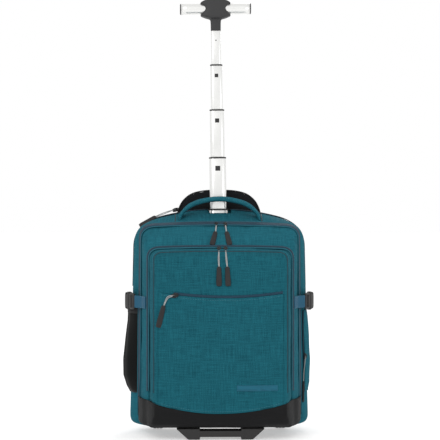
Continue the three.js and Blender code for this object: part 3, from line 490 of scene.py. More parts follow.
def group_in(tree, group, **values):
    made = tree.nodes.new("ShaderNodeGroup")
    made.node_tree = group
    for key, value in values.items():
        plug(tree, made.inputs[key.replace("_", " ")], value)
    return made.outputs


def on_cloth(tree, group, **values):
    """A group that is laid out in the cloth's own flat coordinates."""
    return group_in(tree, group, Place=node(tree, "UVMap", uv_map="cloth").outputs[0], **values)


def tinted(colour, factor, lift=0.0):
    return tuple(min(1.0, c * factor + lift) for c in colour[:3]) + (1.0,)


def wear_and_bump(tree, shader, colour, height, roughness, rubbed, amount, strength, depth):
    worn = group_in(tree, handling, Color=colour, Rubbed=rubbed, Amount=amount, Roughness=roughness)
    bump = node(tree, "Bump", {"Strength": strength, "Distance": depth * MM, "Height": height})
    plug(tree, shader.inputs["Base Color"], worn["Color"])
    plug(tree, shader.inputs["Roughness"], worn["Roughness"])
    plug(tree, shader.inputs["Normal"], bump.outputs["Normal"])


def woven(name, light, dark, thread=0.9, streaks=0.5, roughness=0.85, sheen=0.0, strength=0.5):
    material, tree, shader = finish_base(name, roughness, sheen=sheen, specular=0.06)
    cloth = on_cloth(tree, weave, Light_Thread=light, Dark_Thread=dark, Thread=thread, Streaks=streaks)
    wear_and_bump(tree, shader, cloth["Color"], cloth["Height"], roughness, tinted(light, 1.7, 0.01),
                  0.12, strength, 0.25)
    return material


def ribbed(name, colour, along, across, roughness=0.75, sheen=0.05, strength=0.7, depth=0.35):
    material, tree, shader = finish_base(name, roughness, sheen=sheen, specular=0.3)
    height = on_cloth(tree, ribs, Along=along, Across=across)["Height"]
    # The grooves between the ribs are darkened to 0.55 of the colour: painted shade in the grooves.
    wear_and_bump(tree, shader, mix_colour(tree, height, tinted(colour, 0.55), colour), height, roughness,
                  tinted(colour, 1.8, 0.01), 0.12, strength, depth)
    return material


def netted(name, colour, cell, roughness=0.85, sheen=0.1, deep=0.3):
    material, tree, shader = finish_base(name, roughness, sheen=sheen, specular=0.06)
    net = on_cloth(tree, cells, Cell=cell)
    # The holes of the net are darkened to 0.3 of the colour: painted shade inside the holes.
    wear_and_bump(tree, shader, mix_colour(tree, net["Hole"], colour, tinted(colour, 0.3)), net["Height"],
                  roughness, tinted(colour, 1.6, 0.01), 0.1, 0.6, deep)
    return material


def moulded(name, colour, roughness=0.5, scale=900.0, strength=0.25, amount=0.15, metallic=0.0):
    material, tree, shader = finish_base(name, roughness, metallic=metallic)
    wear_and_bump(tree, shader, colour, group_in(tree, grain, Scale=scale)["Height"], roughness,
                  tinted(colour, 1.7, 0.01), amount, strength, 0.12)
    return material


teal = woven("teal_melange", linear(38, 108, 122), linear(8, 54, 67))
teal_face = woven("teal_melange_face", linear(32, 102, 115), linear(6, 48, 60))
teal_strap = ribbed("teal_webbing", linear(16, 78, 104), 2.2, 0.9)
teal_label = ribbed("teal_label", linear(10, 84, 104), 1.1, 0.8, strength=0.3)
tape = ribbed("zip_tape", linear(12, 50, 68), 1.4, 0.7, strength=0.5)
coil = moulded("zip_coil", linear(10, 32, 42), 0.6, 700, 0.3)
piping = woven("teal_binding", linear(52, 108, 122), linear(18, 66, 80), thread=0.7, streaks=0.3)
coated = woven("black_coated_cloth", linear(30, 30, 31), linear(15, 15, 16), thread=0.8, streaks=0.25,
               roughness=0.62, sheen=0.03, strength=0.35)
black_tape = ribbed("black_webbing", linear(27, 27, 28), 2.0, 0.9)
net = netted("stretch_net", linear(17, 18, 18), 1.9)
spacer = netted("spacer_mesh", linear(33, 36, 39), 3.0, deep=0.6)
pad_cloth = woven("pad_cloth", linear(32, 34, 36), linear(17, 18, 20), thread=0.7, streaks=0.3)
plastic = moulded("black_plastic", linear(26, 25, 25), 0.6)
hub_plastic = moulded("hub_plastic", linear(36, 36, 37), 0.6, 600, 0.3)
soft_rubber = moulded("grip_rubber", linear(24, 22, 23), 0.75, 500, 0.3)
tyre_rubber = moulded("tyre_rubber", linear(40, 40, 40), 0.75, 700, 0.4)
pale_plastic = moulded("pale_plastic", linear(206, 206, 203), 0.45, 700, 0.1)
silver = moulded("satin_aluminium", linear(226, 226, 224), 0.3, 1400, 0.08, metallic=0.85, amount=0.04)
silver_cord = ribbed("silver_cord", linear(150, 152, 152), 0.8, 0.8, strength=0.6)
dark_metal = moulded("dark_metal", linear(20, 20, 21), 0.5, 900, 0.1, metallic=0.3)
thread_teal = moulded("sewing_thread", linear(52, 112, 126), 0.7, 1500, 0.2)
thread_black = moulded("black_thread", linear(58, 58, 60), 0.7, 1500, 0.2)
print("materials:", len(bpy.data.materials))


# %% [markdown]
# Seen from the front every layer of the bag has the same kind of outline: a flat foot, sides that
# hardly lean, soft shoulders and a slightly crowned top. Drawing that outline once, with its sizes as
# arguments, lets each layer be a stack of outlines that shrink towards the front. Sizes that belong to
# the frame are read from the CAD nodes, so a new frame moves the cloth with it.

# %% Outline of a layer
rear_back = box_mm("rear_compartment")[1][1]
main_front = box_mm("main_compartment")[0][1]
base_low, base_high = box_mm("base_panel")
tape_proud = 1.4
half_zip = box_mm("main_zipper")[1][0] - tape_proud
print("half width at the zip:", round(half_zip, 1), "layers in Y:", rear_back, main_front)


def outline(half_low, half_high, low, high, crown, low_round, high_round):
    """Points (x, z) round a layer, from the middle of its foot up the right side and down the left."""
    def half_at(z):
        return half_low + (half_high - half_low) * (z - low) / (high - low)
    flat_low = half_low - low_round
    edge = high - crown
    flat_high = half_at(edge) - high_round
    shoulder = edge - 2 * crown / flat_high * high_round

    def bend(a, b, c, count):
        t = np.linspace(0, 1, count)[:, None]
        return (1 - t) ** 2 * np.array(a) + 2 * t * (1 - t) * np.array(b) + t ** 2 * np.array(c)
    side_top = shoulder - high_round * 0.86
    foot = np.stack([np.linspace(0, flat_low, 14)[:-1], np.full(13, low)], 1)
    low_bend = bend((flat_low, low), (half_low, low), (half_at(low + low_round), low + low_round), 9)
    z_side = np.linspace(low + low_round, side_top, 34)[1:-1]
    side = np.stack([half_at(z_side), z_side], 1)
    high_bend = bend((half_at(side_top), side_top), (half_at(shoulder), shoulder), (flat_high, edge), 15)
    share = np.linspace(1, 0, 18)[1:]
    top = np.stack([flat_high * share, high - crown * share ** 2], 1)
    right = np.concatenate([foot, low_bend, side, high_bend, top])
    left = right[1:-1][::-1] * (-1, 1)
    return np.concatenate([right, left])


def eased(table, share):
    """A table of (depth, value) read smoothly."""
    depth, value = zip(*table)
    fine = np.linspace(0, 1, 241)
    level = np.interp(fine, depth, value)
    kernel = np.hanning(27)
    kernel /= kernel.sum()
    smooth = np.convolve(np.pad(level, 13, mode="reflect", reflect_type="odd"), kernel, "valid")
    return float(np.interp(share, fine, smooth))


@dataclass
class Layer:
    """One cloth layer: its outline at the rim, and how that shrinks towards the face.

    The tables insets, drops and lifts say how much of inset, drop and lift is reached at each depth.
    """
    rim: float
    face: float
    half_low: float
    half_high: float
    low: float
    high: float
    inset_low: float
    inset_high: float
    drop: float
    lift: float
    crown: float
    low_round: float
    high_round: float
    insets: list
    drops: list
    lifts: tuple = ((0, 0), (1, 0))
    dome: float = 0
    deep: tuple = None

    def ring(self, depth, grow=0.0):
        inset, drop, lift = (eased(t, depth) for t in (self.insets, self.drops, self.lifts))
        deep = self.deep or (self.crown, self.high_round)
        flat = outline(
            self.half_low - inset * self.inset_low + grow, self.half_high - inset * self.inset_high + grow,
            self.low + lift * self.lift - grow, self.high - drop * self.drop + grow,
            self.crown + drop * (deep[0] - self.crown), self.low_round + grow,
            self.high_round + drop * (deep[1] - self.high_round) + grow)
        y = self.rim + (self.face + math.copysign(grow, self.face - self.rim) - self.rim) * depth
        return at_y(flat, y)

    def rings(self, depths, grow=0.0, closed_face=True):
        made = [self.ring(d, grow) for d in depths]
        if closed_face:
            last = made[-1]
            middle = (self.low + self.high - self.drop) / 2
            towards = math.copysign(1, self.face - self.rim)
            for spread in (0.985, 0.95, 0.9, 0.84, 0.77, 0.69, 0.6, 0.5, 0.39, 0.27, 0.14):
                ring = last.copy()
                ring[:, 0] *= spread
                ring[:, 2] = middle + (ring[:, 2] - middle) * spread
                ring[:, 1] += towards * self.dome * (1 - spread ** 2.2) * 1.02
                made.append(ring)
        return made


rear = Layer(
    rim=8, face=rear_back, half_low=half_zip, half_high=half_zip - 2, low=24, high=430, inset_low=-22,
    inset_high=-14, drop=-29, lift=6, crown=3, low_round=18, high_round=28,
    insets=[(0, 0), (0.2, 0.62), (0.45, 0.95), (0.75, 1), (0.93, 0.86), (1, 0.55)],
    drops=[(0, 0), (0.2, 0.3), (0.45, 0.66), (0.75, 0.95), (0.93, 1), (1, 0.88)],
    lifts=[(0, 0), (0.75, 0), (0.93, 0.3), (1, 1)], deep=(16, 56))
main = Layer(
    rim=2, face=main_front, half_low=half_zip, half_high=half_zip - 2, low=24.3, high=428, inset_low=18,
    inset_high=18, drop=47, lift=4, crown=3, low_round=26, high_round=28,
    insets=[(0, 0), (0.1, 0.13), (0.3, 0.24), (0.6, 0.44), (0.85, 0.76), (1, 1)],
    drops=[(0, 0), (0.3, 0.16), (0.6, 0.44), (0.85, 0.78), (1, 1)],
    lifts=[(0, 0), (0.6, 0), (0.85, 0.2), (1, 1)])
pocket = Layer(
    rim=-58, face=-96, half_low=142, half_high=142, low=38, high=380, inset_low=14, inset_high=14,
    drop=36, lift=0, crown=2, low_round=10, high_round=22,
    insets=[(0, 0), (0.4, 0.14), (0.75, 0.48), (0.92, 0.8), (1, 1)],
    drops=[(0, 0), (0.4, 0.12), (0.75, 0.42), (0.92, 0.74), (1, 1)], dome=11)
base = Layer(
    rim=1.7, face=-96, half_low=base_high[0], half_high=base_high[0], low=base_low[2], high=197,
    inset_low=36, inset_high=36, drop=0, lift=26, crown=3, low_round=9, high_round=20,
    insets=[(0, 0), (0.2, 0.09), (0.4, 0.27), (0.56, 0.5), (0.74, 0.66), (0.9, 0.84), (1, 1)],
    drops=[(0, 0), (1, 0)], lifts=[(0, 0), (0.74, 0.02), (0.9, 0.36), (1, 1)], dome=11)

# %% [markdown]
# The seam between the teal front and the black base curves up towards the sides. A cutting plane can't
# follow a curve, so the mesh is bent until the curve is level, cut there, and bent back.

# %% Curved cuts
seam_mid, seam_rise, seam_half = 54.0, 23.0, 140.0


def seam_z(x):
    return seam_mid + seam_rise * np.minimum(1, (np.asarray(x) / seam_half) ** 2)


sag_low, sag_rise, sag_middle, sag_half = 282.5, 8.5, 10.0, 113.0


def zip_line(x):
    return sag_low + sag_rise * ((np.asarray(x) - sag_middle) / sag_half) ** 2


def bisect(bm, through, normal, keep_far):
    """Cuts at a plane and keeps what lies beyond it, or what lies before it."""
    bmesh.ops.bisect_plane(
        bm, geom=bm.verts[:] + bm.edges[:] + bm.faces[:], dist=1e-6, plane_co=through,
        plane_no=normal, clear_inner=keep_far, clear_outer=not keep_far)


def keep_above(obj, level, above=True):
    """Cuts a mesh along z = level(x) and keeps one side."""
    with editing(obj) as bm:
        for v in bm.verts:
            v.co.z -= float(level(v.co.x / MM)) * MM
        bisect(bm, (0, 0, 0), (0, 0, 1), above)
        for v in bm.verts:
            v.co.z += float(level(v.co.x / MM)) * MM
    return obj


def keep_side(obj, x, right=True):
    with editing(obj) as bm:
        bisect(bm, (x * MM, 0, 0), (1, 0, 0), right)
    return obj


def layer_sheet(name, layer, depths, grow, material, closed_face=True):
    return outward(make(name, *loft(layer.rings(depths, grow, closed_face), cap_end=closed_face), material))


# %% [markdown]
# The rear compartment holds the pole and the laptop, so it is the stiffest and squarest layer. The
# cloth starts at the zip, swells to its full width and rolls over into the back. Its own slow ripples
# stay small. The pole comes out of its top through a moulded grommet.

# %% Rear compartment
pole_low, pole_high = box_mm("pole_outer_tube")
rear_cloth = layer_sheet("rear_cloth", rear, np.linspace(0, 1, 30), 0, teal)
push(rear_cloth, lambda p: 0.9 * ripple(p, 80) - 0.5)


def sag_corners(p):
    """The lower corners outside the wheels hang a little below the floor panel."""
    outer = np.clip((np.abs(p[:, 0]) - 138) / 10, 0, 1)
    return -9.0 * outer * np.clip((70 - p[:, 2]) / 45, 0, 1) * np.clip((72 - p[:, 1]) / 20, 0, 1)


rear_points = points_of(rear_cloth)
rear_points[:, 2] += sag_corners(rear_points)
move_to(rear_cloth, rear_points)
rear_cloth = thicken(rear_cloth, 1.6, -1)
pole_middle = (pole_low + pole_high) / 2
print("rear cloth faces:", len(rear_cloth.data.polygons), "pole at", pole_middle.round(1))


# %% [markdown]
# Housings and pole need their openings in this cloth. A boolean with a plain block is exact enough
# here, because each edge of the cut hides under moulded plastic.

# %% Openings for pole and wheels
def block(low, high):
    """A plain cutting block; it is removed again after the cut."""
    bm = bmesh.new()
    bmesh.ops.create_cube(bm, size=1)
    low, high = np.array(low) * MM, np.array(high) * MM
    bmesh.ops.scale(bm, vec=high - low, verts=bm.verts)
    bmesh.ops.translate(bm, vec=(low + high) / 2, verts=bm.verts)
    mesh = bpy.data.meshes.new("cutter")
    bm.to_mesh(mesh)
    bm.free()
    return in_scene("cutter", mesh)


def cut(obj, blocks):
    for cutter in blocks:
        boolean = obj.modifiers.new("cut", "BOOLEAN")
        boolean.operation, boolean.solver, boolean.object = "DIFFERENCE", "EXACT", cutter
    apply_modifiers(obj)
    for cutter in blocks:
        bpy.data.objects.remove(cutter)
    return obj


housings = {side: box_mm(f"wheel_housing_{side}") for side in ("left", "right")}
pole_top = block((pole_low[0] - 0.5, pole_low[1] - 0.5, 380), (pole_high[0] + 0.5, pole_high[1] + 0.5, 520))
wheel_cuts = [block(low - (1, 1, 30), high + (1, 60, 0.6)) for low, high in housings.values()]
cut(rear_cloth, [pole_top] + wheel_cuts)
place(rear_cloth, replaces=["rear_compartment"])
print("rear cloth after cuts:", len(rear_cloth.data.polygons))

# %% [markdown]
# The main compartment is the gusset between the two big zips. Filled with soft things, its sides bow
# and its top slopes down to the front pocket, with two pairs of pull creases at the shoulders where the
# straps tug on it.

# %% Main compartment
main_cloth = layer_sheet("main_cloth", main, np.linspace(0, 1, 30), 0, teal, closed_face=False)


def main_folds(p):
    x, z = np.abs(p[:, 0]), p[:, 2]
    folds = 1.6 * crease(x, z, (112, 420), (150, 350), 7) - 1.2 * crease(x, z, (128, 415), (158, 330), 8)
    sag = -1.3 * np.exp(-((p[:, 1] + 24) / 16) ** 2) * (z > 390)
    return 0.9 * ripple(p, 70) + folds + sag - 0.6


push(main_cloth, main_folds)
main_face = layer_sheet("main_face", main, [1.0], 0, teal)
main_cloth = thicken(main_cloth, 1.6, -1)
main_face = thicken(main_face, 1.6, -1)
main_cloth = join("main_cloth", [main_cloth, main_face])
place(main_cloth, replaces=["main_compartment"])
print("main cloth faces:", len(main_cloth.data.polygons))

# %% [markdown]
# The front pocket is the face that everyone looks at: a dome of one panel with a band across its top.
# It is not flat anywhere. Two long creases run down from each top corner, a soft dent crosses the
# flat pocket below its zip, and the lower part hangs a little.

# %% Front pocket
def front_folds(p):
    x, z = np.abs(p[:, 0]), p[:, 2]
    folds = 2.0 * crease(x, z, (112, 372), (82, 340), 6) - 1.6 * crease(x, z, (120, 362), (96, 322), 6)
    folds += 1.4 * crease(x, z, (118, 350), (98, 292), 7)
    folds += 1.3 * crease(p[:, 0], z, (-124, 232), (-62, 176), 9)
    folds -= 1.2 * crease(p[:, 0], z, (-126, 214), (-66, 158), 9)
    folds += 1.0 * crease(p[:, 0], z, (70, 226), (124, 158), 10)
    folds -= 0.9 * crease(p[:, 0], z, (60, 210), (120, 140), 9)
    folds += 0.9 * crease(p[:, 0], z, (-60, 120), (70, 96), 12)
    band = 1.2 * np.exp(-((z - 352) / 2.4) ** 2) * (x < 120)
    return folds - band + 1.1 * ripple(p, 85) + 0.35 * ripple(p[:, ::-1], 34) - 0.8


pocket_cloth = layer_sheet("pocket_cloth", pocket, np.linspace(0, 1, 24), 0, teal_face)
push(pocket_cloth, front_folds)
keep_above(pocket_cloth, lambda x: seam_z(x) + 0.4)
pocket_cloth = thicken(pocket_cloth, 1.6, -1)
place(pocket_cloth, replaces=["front_pocket"])
print("pocket cloth faces:", len(pocket_cloth.data.polygons))


# %% [markdown]
# The flat pocket is a second panel laid on the first, closed by a zip that sags between its ends. It is
# the same surface a cloth's thickness further out, cut along that zip, the base seam and its sides.

# %% Flat pocket and its zip
def face_patch(name, grow, material, low, high, x_low, x_high, thickness):
    patch = layer_sheet(name, pocket, np.linspace(0.6, 1, 10), 0, material)
    push(patch, lambda p: front_folds(p) + grow)
    keep_above(patch, low)
    keep_above(patch, high, above=False)
    keep_side(patch, x_low)
    keep_side(patch, x_high, right=False)
    return thicken(patch, thickness, 1)


flat_half = 122.0
flat_cloth = face_patch("flat_pocket_cloth", 0.4, teal_face, lambda x: seam_z(x) + 1.0,
                        lambda x: zip_line(x) - 0.4, -flat_half, flat_half, 1.3)
place(flat_cloth, replaces=["flat_pocket"])
flat_tape = face_patch("flat_pocket_tape", 0.4, tape, zip_line, lambda x: zip_line(x) + 5,
                       -92, flat_half, 1.0)
place(flat_tape, replaces=["flat_pocket_zipper"])
print("flat pocket faces:", len(flat_cloth.data.polygons))

# %% [markdown]
# The base is a black coated cloth, tougher than the teal. It wraps the lower front, both lower corners
# and the underside in one piece, and its upper edge follows the curved seam.

# %% Base panel
base_cloth = layer_sheet("base_cloth", base, np.linspace(0, 1, 34), 0, coated)
push(base_cloth, lambda p: 0.7 * ripple(p, 70) + 0.9 * crease(
    np.abs(p[:, 0]), p[:, 2], (60, 44), (130, 58), 6) - 0.4)
keep_above(base_cloth, seam_z, above=False)
base_cloth = thicken(base_cloth, 1.8, -1)
place(base_cloth, replaces=["base_panel"])
print("base cloth faces:", len(base_cloth.data.polygons))


# %% [markdown]
# A coil zip is two woven tapes and a nylon spiral between them. From the front only the tapes' slope
# shows, a bluish strip with a dark line, so each tape is a strip lofted between two grown outlines and
# the coil is one fine zigzag cord. The ends stop at the base cloth, where the real zip is sewn under.

# %% Zip parts
def round_the_top(ring, z_from):
    """The part of a ring above z_from, from its lower right end over the top to its lower left end."""
    return ring[ring[:, 2] > z_from]


def strip(name, rings, z_from, material, thickness=0.8):
    sheet = lofted(name, [round_the_top(r, z_from) for r in rings], material, closed=False)
    return thicken(sheet, thickness, 0)


def zigzag(name, ring, z_from, pitch, swing, radius, material):
    """The spiral of a zip: a cord that steps from side to side in Y."""
    line = round_the_top(ring, z_from)
    length = np.linalg.norm(np.diff(line, axis=0), axis=1).sum()
    return tube(name, wiggled(curve_points(line, int(length / pitch)), swing, 1), radius, material, sides=5)


def surface_of(*objs):
    """A ray target made of the given meshes."""
    bm = bmesh.new()
    for o in objs:
        bm.from_mesh(o.data)
    tree = BVHTree.FromBMesh(bm)
    bm.free()
    return tree


def lay(target, point, away, lift=0.0):
    """The point of a cloth surface under `point`, seen from `away`, lifted off it; all in millimetres."""
    away = np.array(away, float) / np.linalg.norm(away)
    start = np.array(point, float) + away * 400
    hit = target.ray_cast(Vector(start * MM), Vector(-away))[0]
    found = np.array(hit) / MM if hit is not None else np.array(point, float)
    return found + away * lift


def lay_front(target, flat, lift):
    """Points (x, z) of the front view laid on a cloth surface, lifted off it."""
    return np.array([lay(target, p, (0, -1, 0), lift) for p in at_y(flat, -100.0)])


zip_floor = 60
main_tape = strip("main_zip_tape", [
    rear.ring(0.04, 0.9), rear.ring(0, 1.2), main.ring(0, 1.0), main.ring(0.05, 1.1), main.ring(0.13, 1.3),
], zip_floor, tape)
main_coil = zigzag("main_zip_coil", main.ring(0, 1.2) + (0, 3, 0), zip_floor, 1.5, 0.7, 0.7, coil)
rear_binding = tube("rear_binding", round_the_top(rear.ring(0.05, 0.9), zip_floor - 25), 1.3, piping, 8)
main_binding = tube("main_binding", round_the_top(main.ring(0.15, 1.2), zip_floor), 1.1, piping, 8)
place(join("main_zip", [main_tape, main_coil]), replaces=["main_zipper"])
place(join("main_bindings", [rear_binding, main_binding]))
print("main zip done")

# %% [markdown]
# The pocket zip sits on the step between the main compartment and the front pocket. The tape slopes
# from the step to the pocket's rim, and a corded edge, teal over a thin cord, runs round the rim. A
# thin dark cord just inside that edge is painted shadow: the dark line where the face meets it.

# %% Front pocket zip
def pocket_ring(y, grow):
    ring = pocket.ring(0, grow)
    ring[:, 1] = y
    return ring


pocket_floor = 92
pocket_tape = strip("pocket_zip_tape", [
    pocket_ring(-51.6, 5.5), pocket_ring(-53.4, 4.6), pocket_ring(-55.4, 1.6), pocket_ring(-57.8, 0.6),
], pocket_floor, tape)
pocket_coil = zigzag("pocket_zip_coil", pocket_ring(-54.7, 3.0), pocket_floor, 1.5, 0.7, 0.7, coil)
pocket_edge = round_the_top(pocket_ring(-58.6, 0.9), pocket_floor - 4)
pocket_binding = tube("pocket_binding", pocket_edge, 1.6, piping, 8)
pocket_surface = surface_of(pocket_cloth)


def laid_edge(half, top, corner, proud):
    """An edge line of the pocket's face: an outline laid on the cloth from the front."""
    flat = outline(half, half, pocket.low, top, pocket.crown, pocket.low_round, corner)
    return lay_front(pocket_surface, flat[flat[:, 1] > pocket_floor], proud)


face_line = tube("face_binding", laid_edge(134.5, 376.5, 19, 0.3), 1.2, piping, 8)
# A thin dark cord in zip-coil colour just inside the teal edge: painted shadow, the dark line where the face
# meets its binding.
face_seam = tube("face_seam", laid_edge(131.8, 373.5, 17, 0.0), 0.9, coil, 6)
place(join("pocket_face_edge", [face_line, face_seam]))
place(join("pocket_zip", [pocket_tape, pocket_coil]), replaces=["pocket_zipper"])
place(pocket_binding)
face = surface_of(pocket_cloth, flat_cloth)
flat_x = np.linspace(-91, 121, 150)
flat_line = lay_front(face, np.stack([flat_x, zip_line(flat_x) + 1.2], 1), 0.9)
place(tube("flat_zip_coil", wiggled(flat_line, 0.6, 2), 0.6, coil, sides=5))
print("pocket zips done")

# %% [markdown]
# The rear compartment's own zip runs over the top near the back edge, in two lengths beside the pole.

# %% Rear compartment zip
rear_zip_low, rear_zip_high = box_mm("rear_zipper_left")
zip_depths = [(y - 8) / (rear.face - 8) for y in np.linspace(rear_zip_low[1], rear_zip_high[1], 5)]
rear_strip = strip("rear_zip_tape", [rear.ring(d, 0.9) for d in zip_depths], rear_zip_low[2], tape)
for side, name in SIDES:
    half = rear_strip.copy()
    half.data = rear_strip.data.copy()
    bpy.context.scene.collection.objects.link(half)
    inner = box_mm(f"rear_zipper_{name}")[0 if side > 0 else 1][0]
    keep_side(half, inner, right=side > 0)
    line = round_the_top(rear.ring(zip_depths[2], 1.6), rear_zip_low[2])
    line = line[line[:, 0] * side > abs(inner)]
    spiral = wiggled(curve_points(line, len(line) * 5), 0.6, 1)
    spiral_cord = tube(f"rear_coil_{name}", spiral, 0.6, coil, sides=5)
    place(join(f"rear_zip_{name}", [half, spiral_cord]), replaces=[f"rear_zipper_{name}"])
bpy.data.objects.remove(rear_strip)
print("rear zip done")


# %% [markdown]
# A zip pull has three parts: a cast slider with a bridge, a loop of thin silver cord through the
# bridge, and a rubber grip moulded over the cord's ends. The grip is flat, waisted at its top and
# ribbed for the fingers, so it is a loft of rounded rectangles.

# %% Zip pulls
def rounded(width, height, count=16, power=3.2):
    """A rounded rectangle as points (u, v) on a superellipse."""
    turn = np.arange(count) * 2 * math.pi / count
    u = np.sign(np.cos(turn)) * np.abs(np.cos(turn)) ** (2 / power)
    v = np.sign(np.sin(turn)) * np.abs(np.sin(turn)) ** (2 / power)
    return np.stack([u * width / 2, v * height / 2], 1)


def bar_loft(name, path, away, widths, heights, material, count=16, power=3.2):
    """A flat bar along a path; `away` is the direction its thickness faces."""
    path = np.asarray(path, float)
    along = unit(np.gradient(path, axis=0))
    widths, heights = np.broadcast_to(widths, len(path)), np.broadcast_to(heights, len(path))
    away = np.array(away, float)
    rings = []
    for k, middle in enumerate(path):
        facing = unit(away - along[k] * away.dot(along[k]))
        across = np.cross(along[k], facing)
        flat = rounded(widths[k], heights[k], count=count, power=power)
        rings.append(middle + flat[:, :1] * across + flat[:, 1:] * facing)
    return lofted(name, rings, material, caps=True)


def zip_pull(node_name, target, stops, away, lift=1.2):
    """Slider, cord loop and grip through four stops: slider, bend, knot and grip end."""
    away = unit(np.array(away, float))
    lifts = (lift + 1.7, lift + 1.4, 2.4, 2.4)
    stops = [np.array(p, float) for p in stops]
    if target:
        stops = [lay(target, p, away, h) for p, h in zip(stops, lifts)]
    slider_at, bend_at, knot_at, end_at = stops
    way = unit(bend_at - slider_at)
    across = np.cross(way, away)
    share = np.linspace(-0.5, 0.5, 9)
    body = bar_loft("slider", [slider_at + way * t * 13 for t in share], away,
                    9.4 - 2.8 * np.abs(share) * 2, 4.2 - 1.4 * np.abs(share) * 2, dark_metal)
    arch = [slider_at + way * 4.6 * math.cos(t) + away * (1.6 + 2.4 * math.sin(t))
            for t in np.linspace(0, math.pi, 9)]
    bridge = tube("bridge", arch, 1.1, dark_metal, 6)
    cords = []
    for side in (-1, 1):
        start = slider_at + away * 2.3 + across * side * 0.2
        line = curve_points([start, bend_at + across * side * 1.5 + away * 0.4,
                             knot_at + across * side * 0.9], 14)
        cords.append(tube("cord", line, 0.85, silver_cord, 7))
    grip_way = end_at - knot_at
    stations = np.array([0, 0.03, 0.1, 0.2, 0.3, 0.36, 0.42, 0.5, 0.56, 0.64, 0.7, 0.78, 0.86, 0.93, 0.98, 1])
    middle = knot_at + stations[:, None] * grip_way
    width = np.interp(stations, [0, 0.05, 0.3, 0.8, 0.96, 1], [5.0, 8.4, 9.6, 11.0, 10.4, 8.0])
    rib = np.where(np.isin(np.round(stations, 2), (0.42, 0.56, 0.7)), -0.5, 0.0)
    thick = np.interp(stations, [0, 0.08, 0.9, 1], [2.6, 4.4, 4.2, 2.4]) + rib
    grip = bar_loft("grip", middle, away, width, thick, soft_rubber)
    pull = join(node_name + "_dressed", [body, bridge, grip] + cords)
    return place(pull, replaces=[node_name])


soft_front = surface_of(rear_cloth, main_cloth, pocket_cloth, flat_cloth)
for name, stops, lift in (
        ("main_left", [(-7, 427), (-8, 420), (-9, 412), (-16.5, 386)], 1.2),
        ("main_right", [(11, 427), (12, 420), (13, 412), (19, 386)], 1.2),
        ("pocket_left", [(-3, 378), (-4, 360), (-3.6, 344), (-3.6, 306)], 0.6),
        ("pocket_right", [(10, 378), (11, 360), (12.6, 344), (14.4, 306)], 0.6),
        ("flat_pocket", [(-90, 288), (-104, 284), (-112, 268), (-123, 225)], 0.9)):
    zip_pull(f"zip_pull_{name}", soft_front, at_y(np.array(stops, float), 0), (0, -1, 0), lift)
zip_pull("zip_pull_rear", None, [(-91, 61, 457), (-114, 61, 450), (-132, 61, 443), (-166, 61, 423)],
         (-0.3, -0.8, 0.52))
print("zip pulls done")


# %% [markdown]
# The compression straps keep the sides flat. Each is 25 mm webbing, sewn into the front gusset and
# into the rear edge, with a side-release buckle between. Webbing is modelled directly as a thin bar:
# a simulation would only blur its crisp edges.

# %% Side straps
sides_of_bag = surface_of(rear_cloth, main_cloth)
belt_z = 270.0


def side_point(side, y, z, lift):
    return lay(sides_of_bag, (0, y, z), (side, 0, 0), lift)


def stitch_rows(name, lines, material, length=3.2, gap=1.6, radius=0.35):
    """Short raised stitches along each line of points."""
    made = []
    for line in lines:
        span = np.linalg.norm(np.diff(line, axis=0), axis=1).sum()
        count = max(2, int(span / (length + gap)))
        fine = curve_points(line, count * 6 + 1)
        for k in range(count):
            part = fine[k * 6:k * 6 + 5]
            made.append(tube("stitch", part[[0, 2, 4]], [radius * 0.6, radius, radius * 0.6], material, 5))
    return join(name, made)


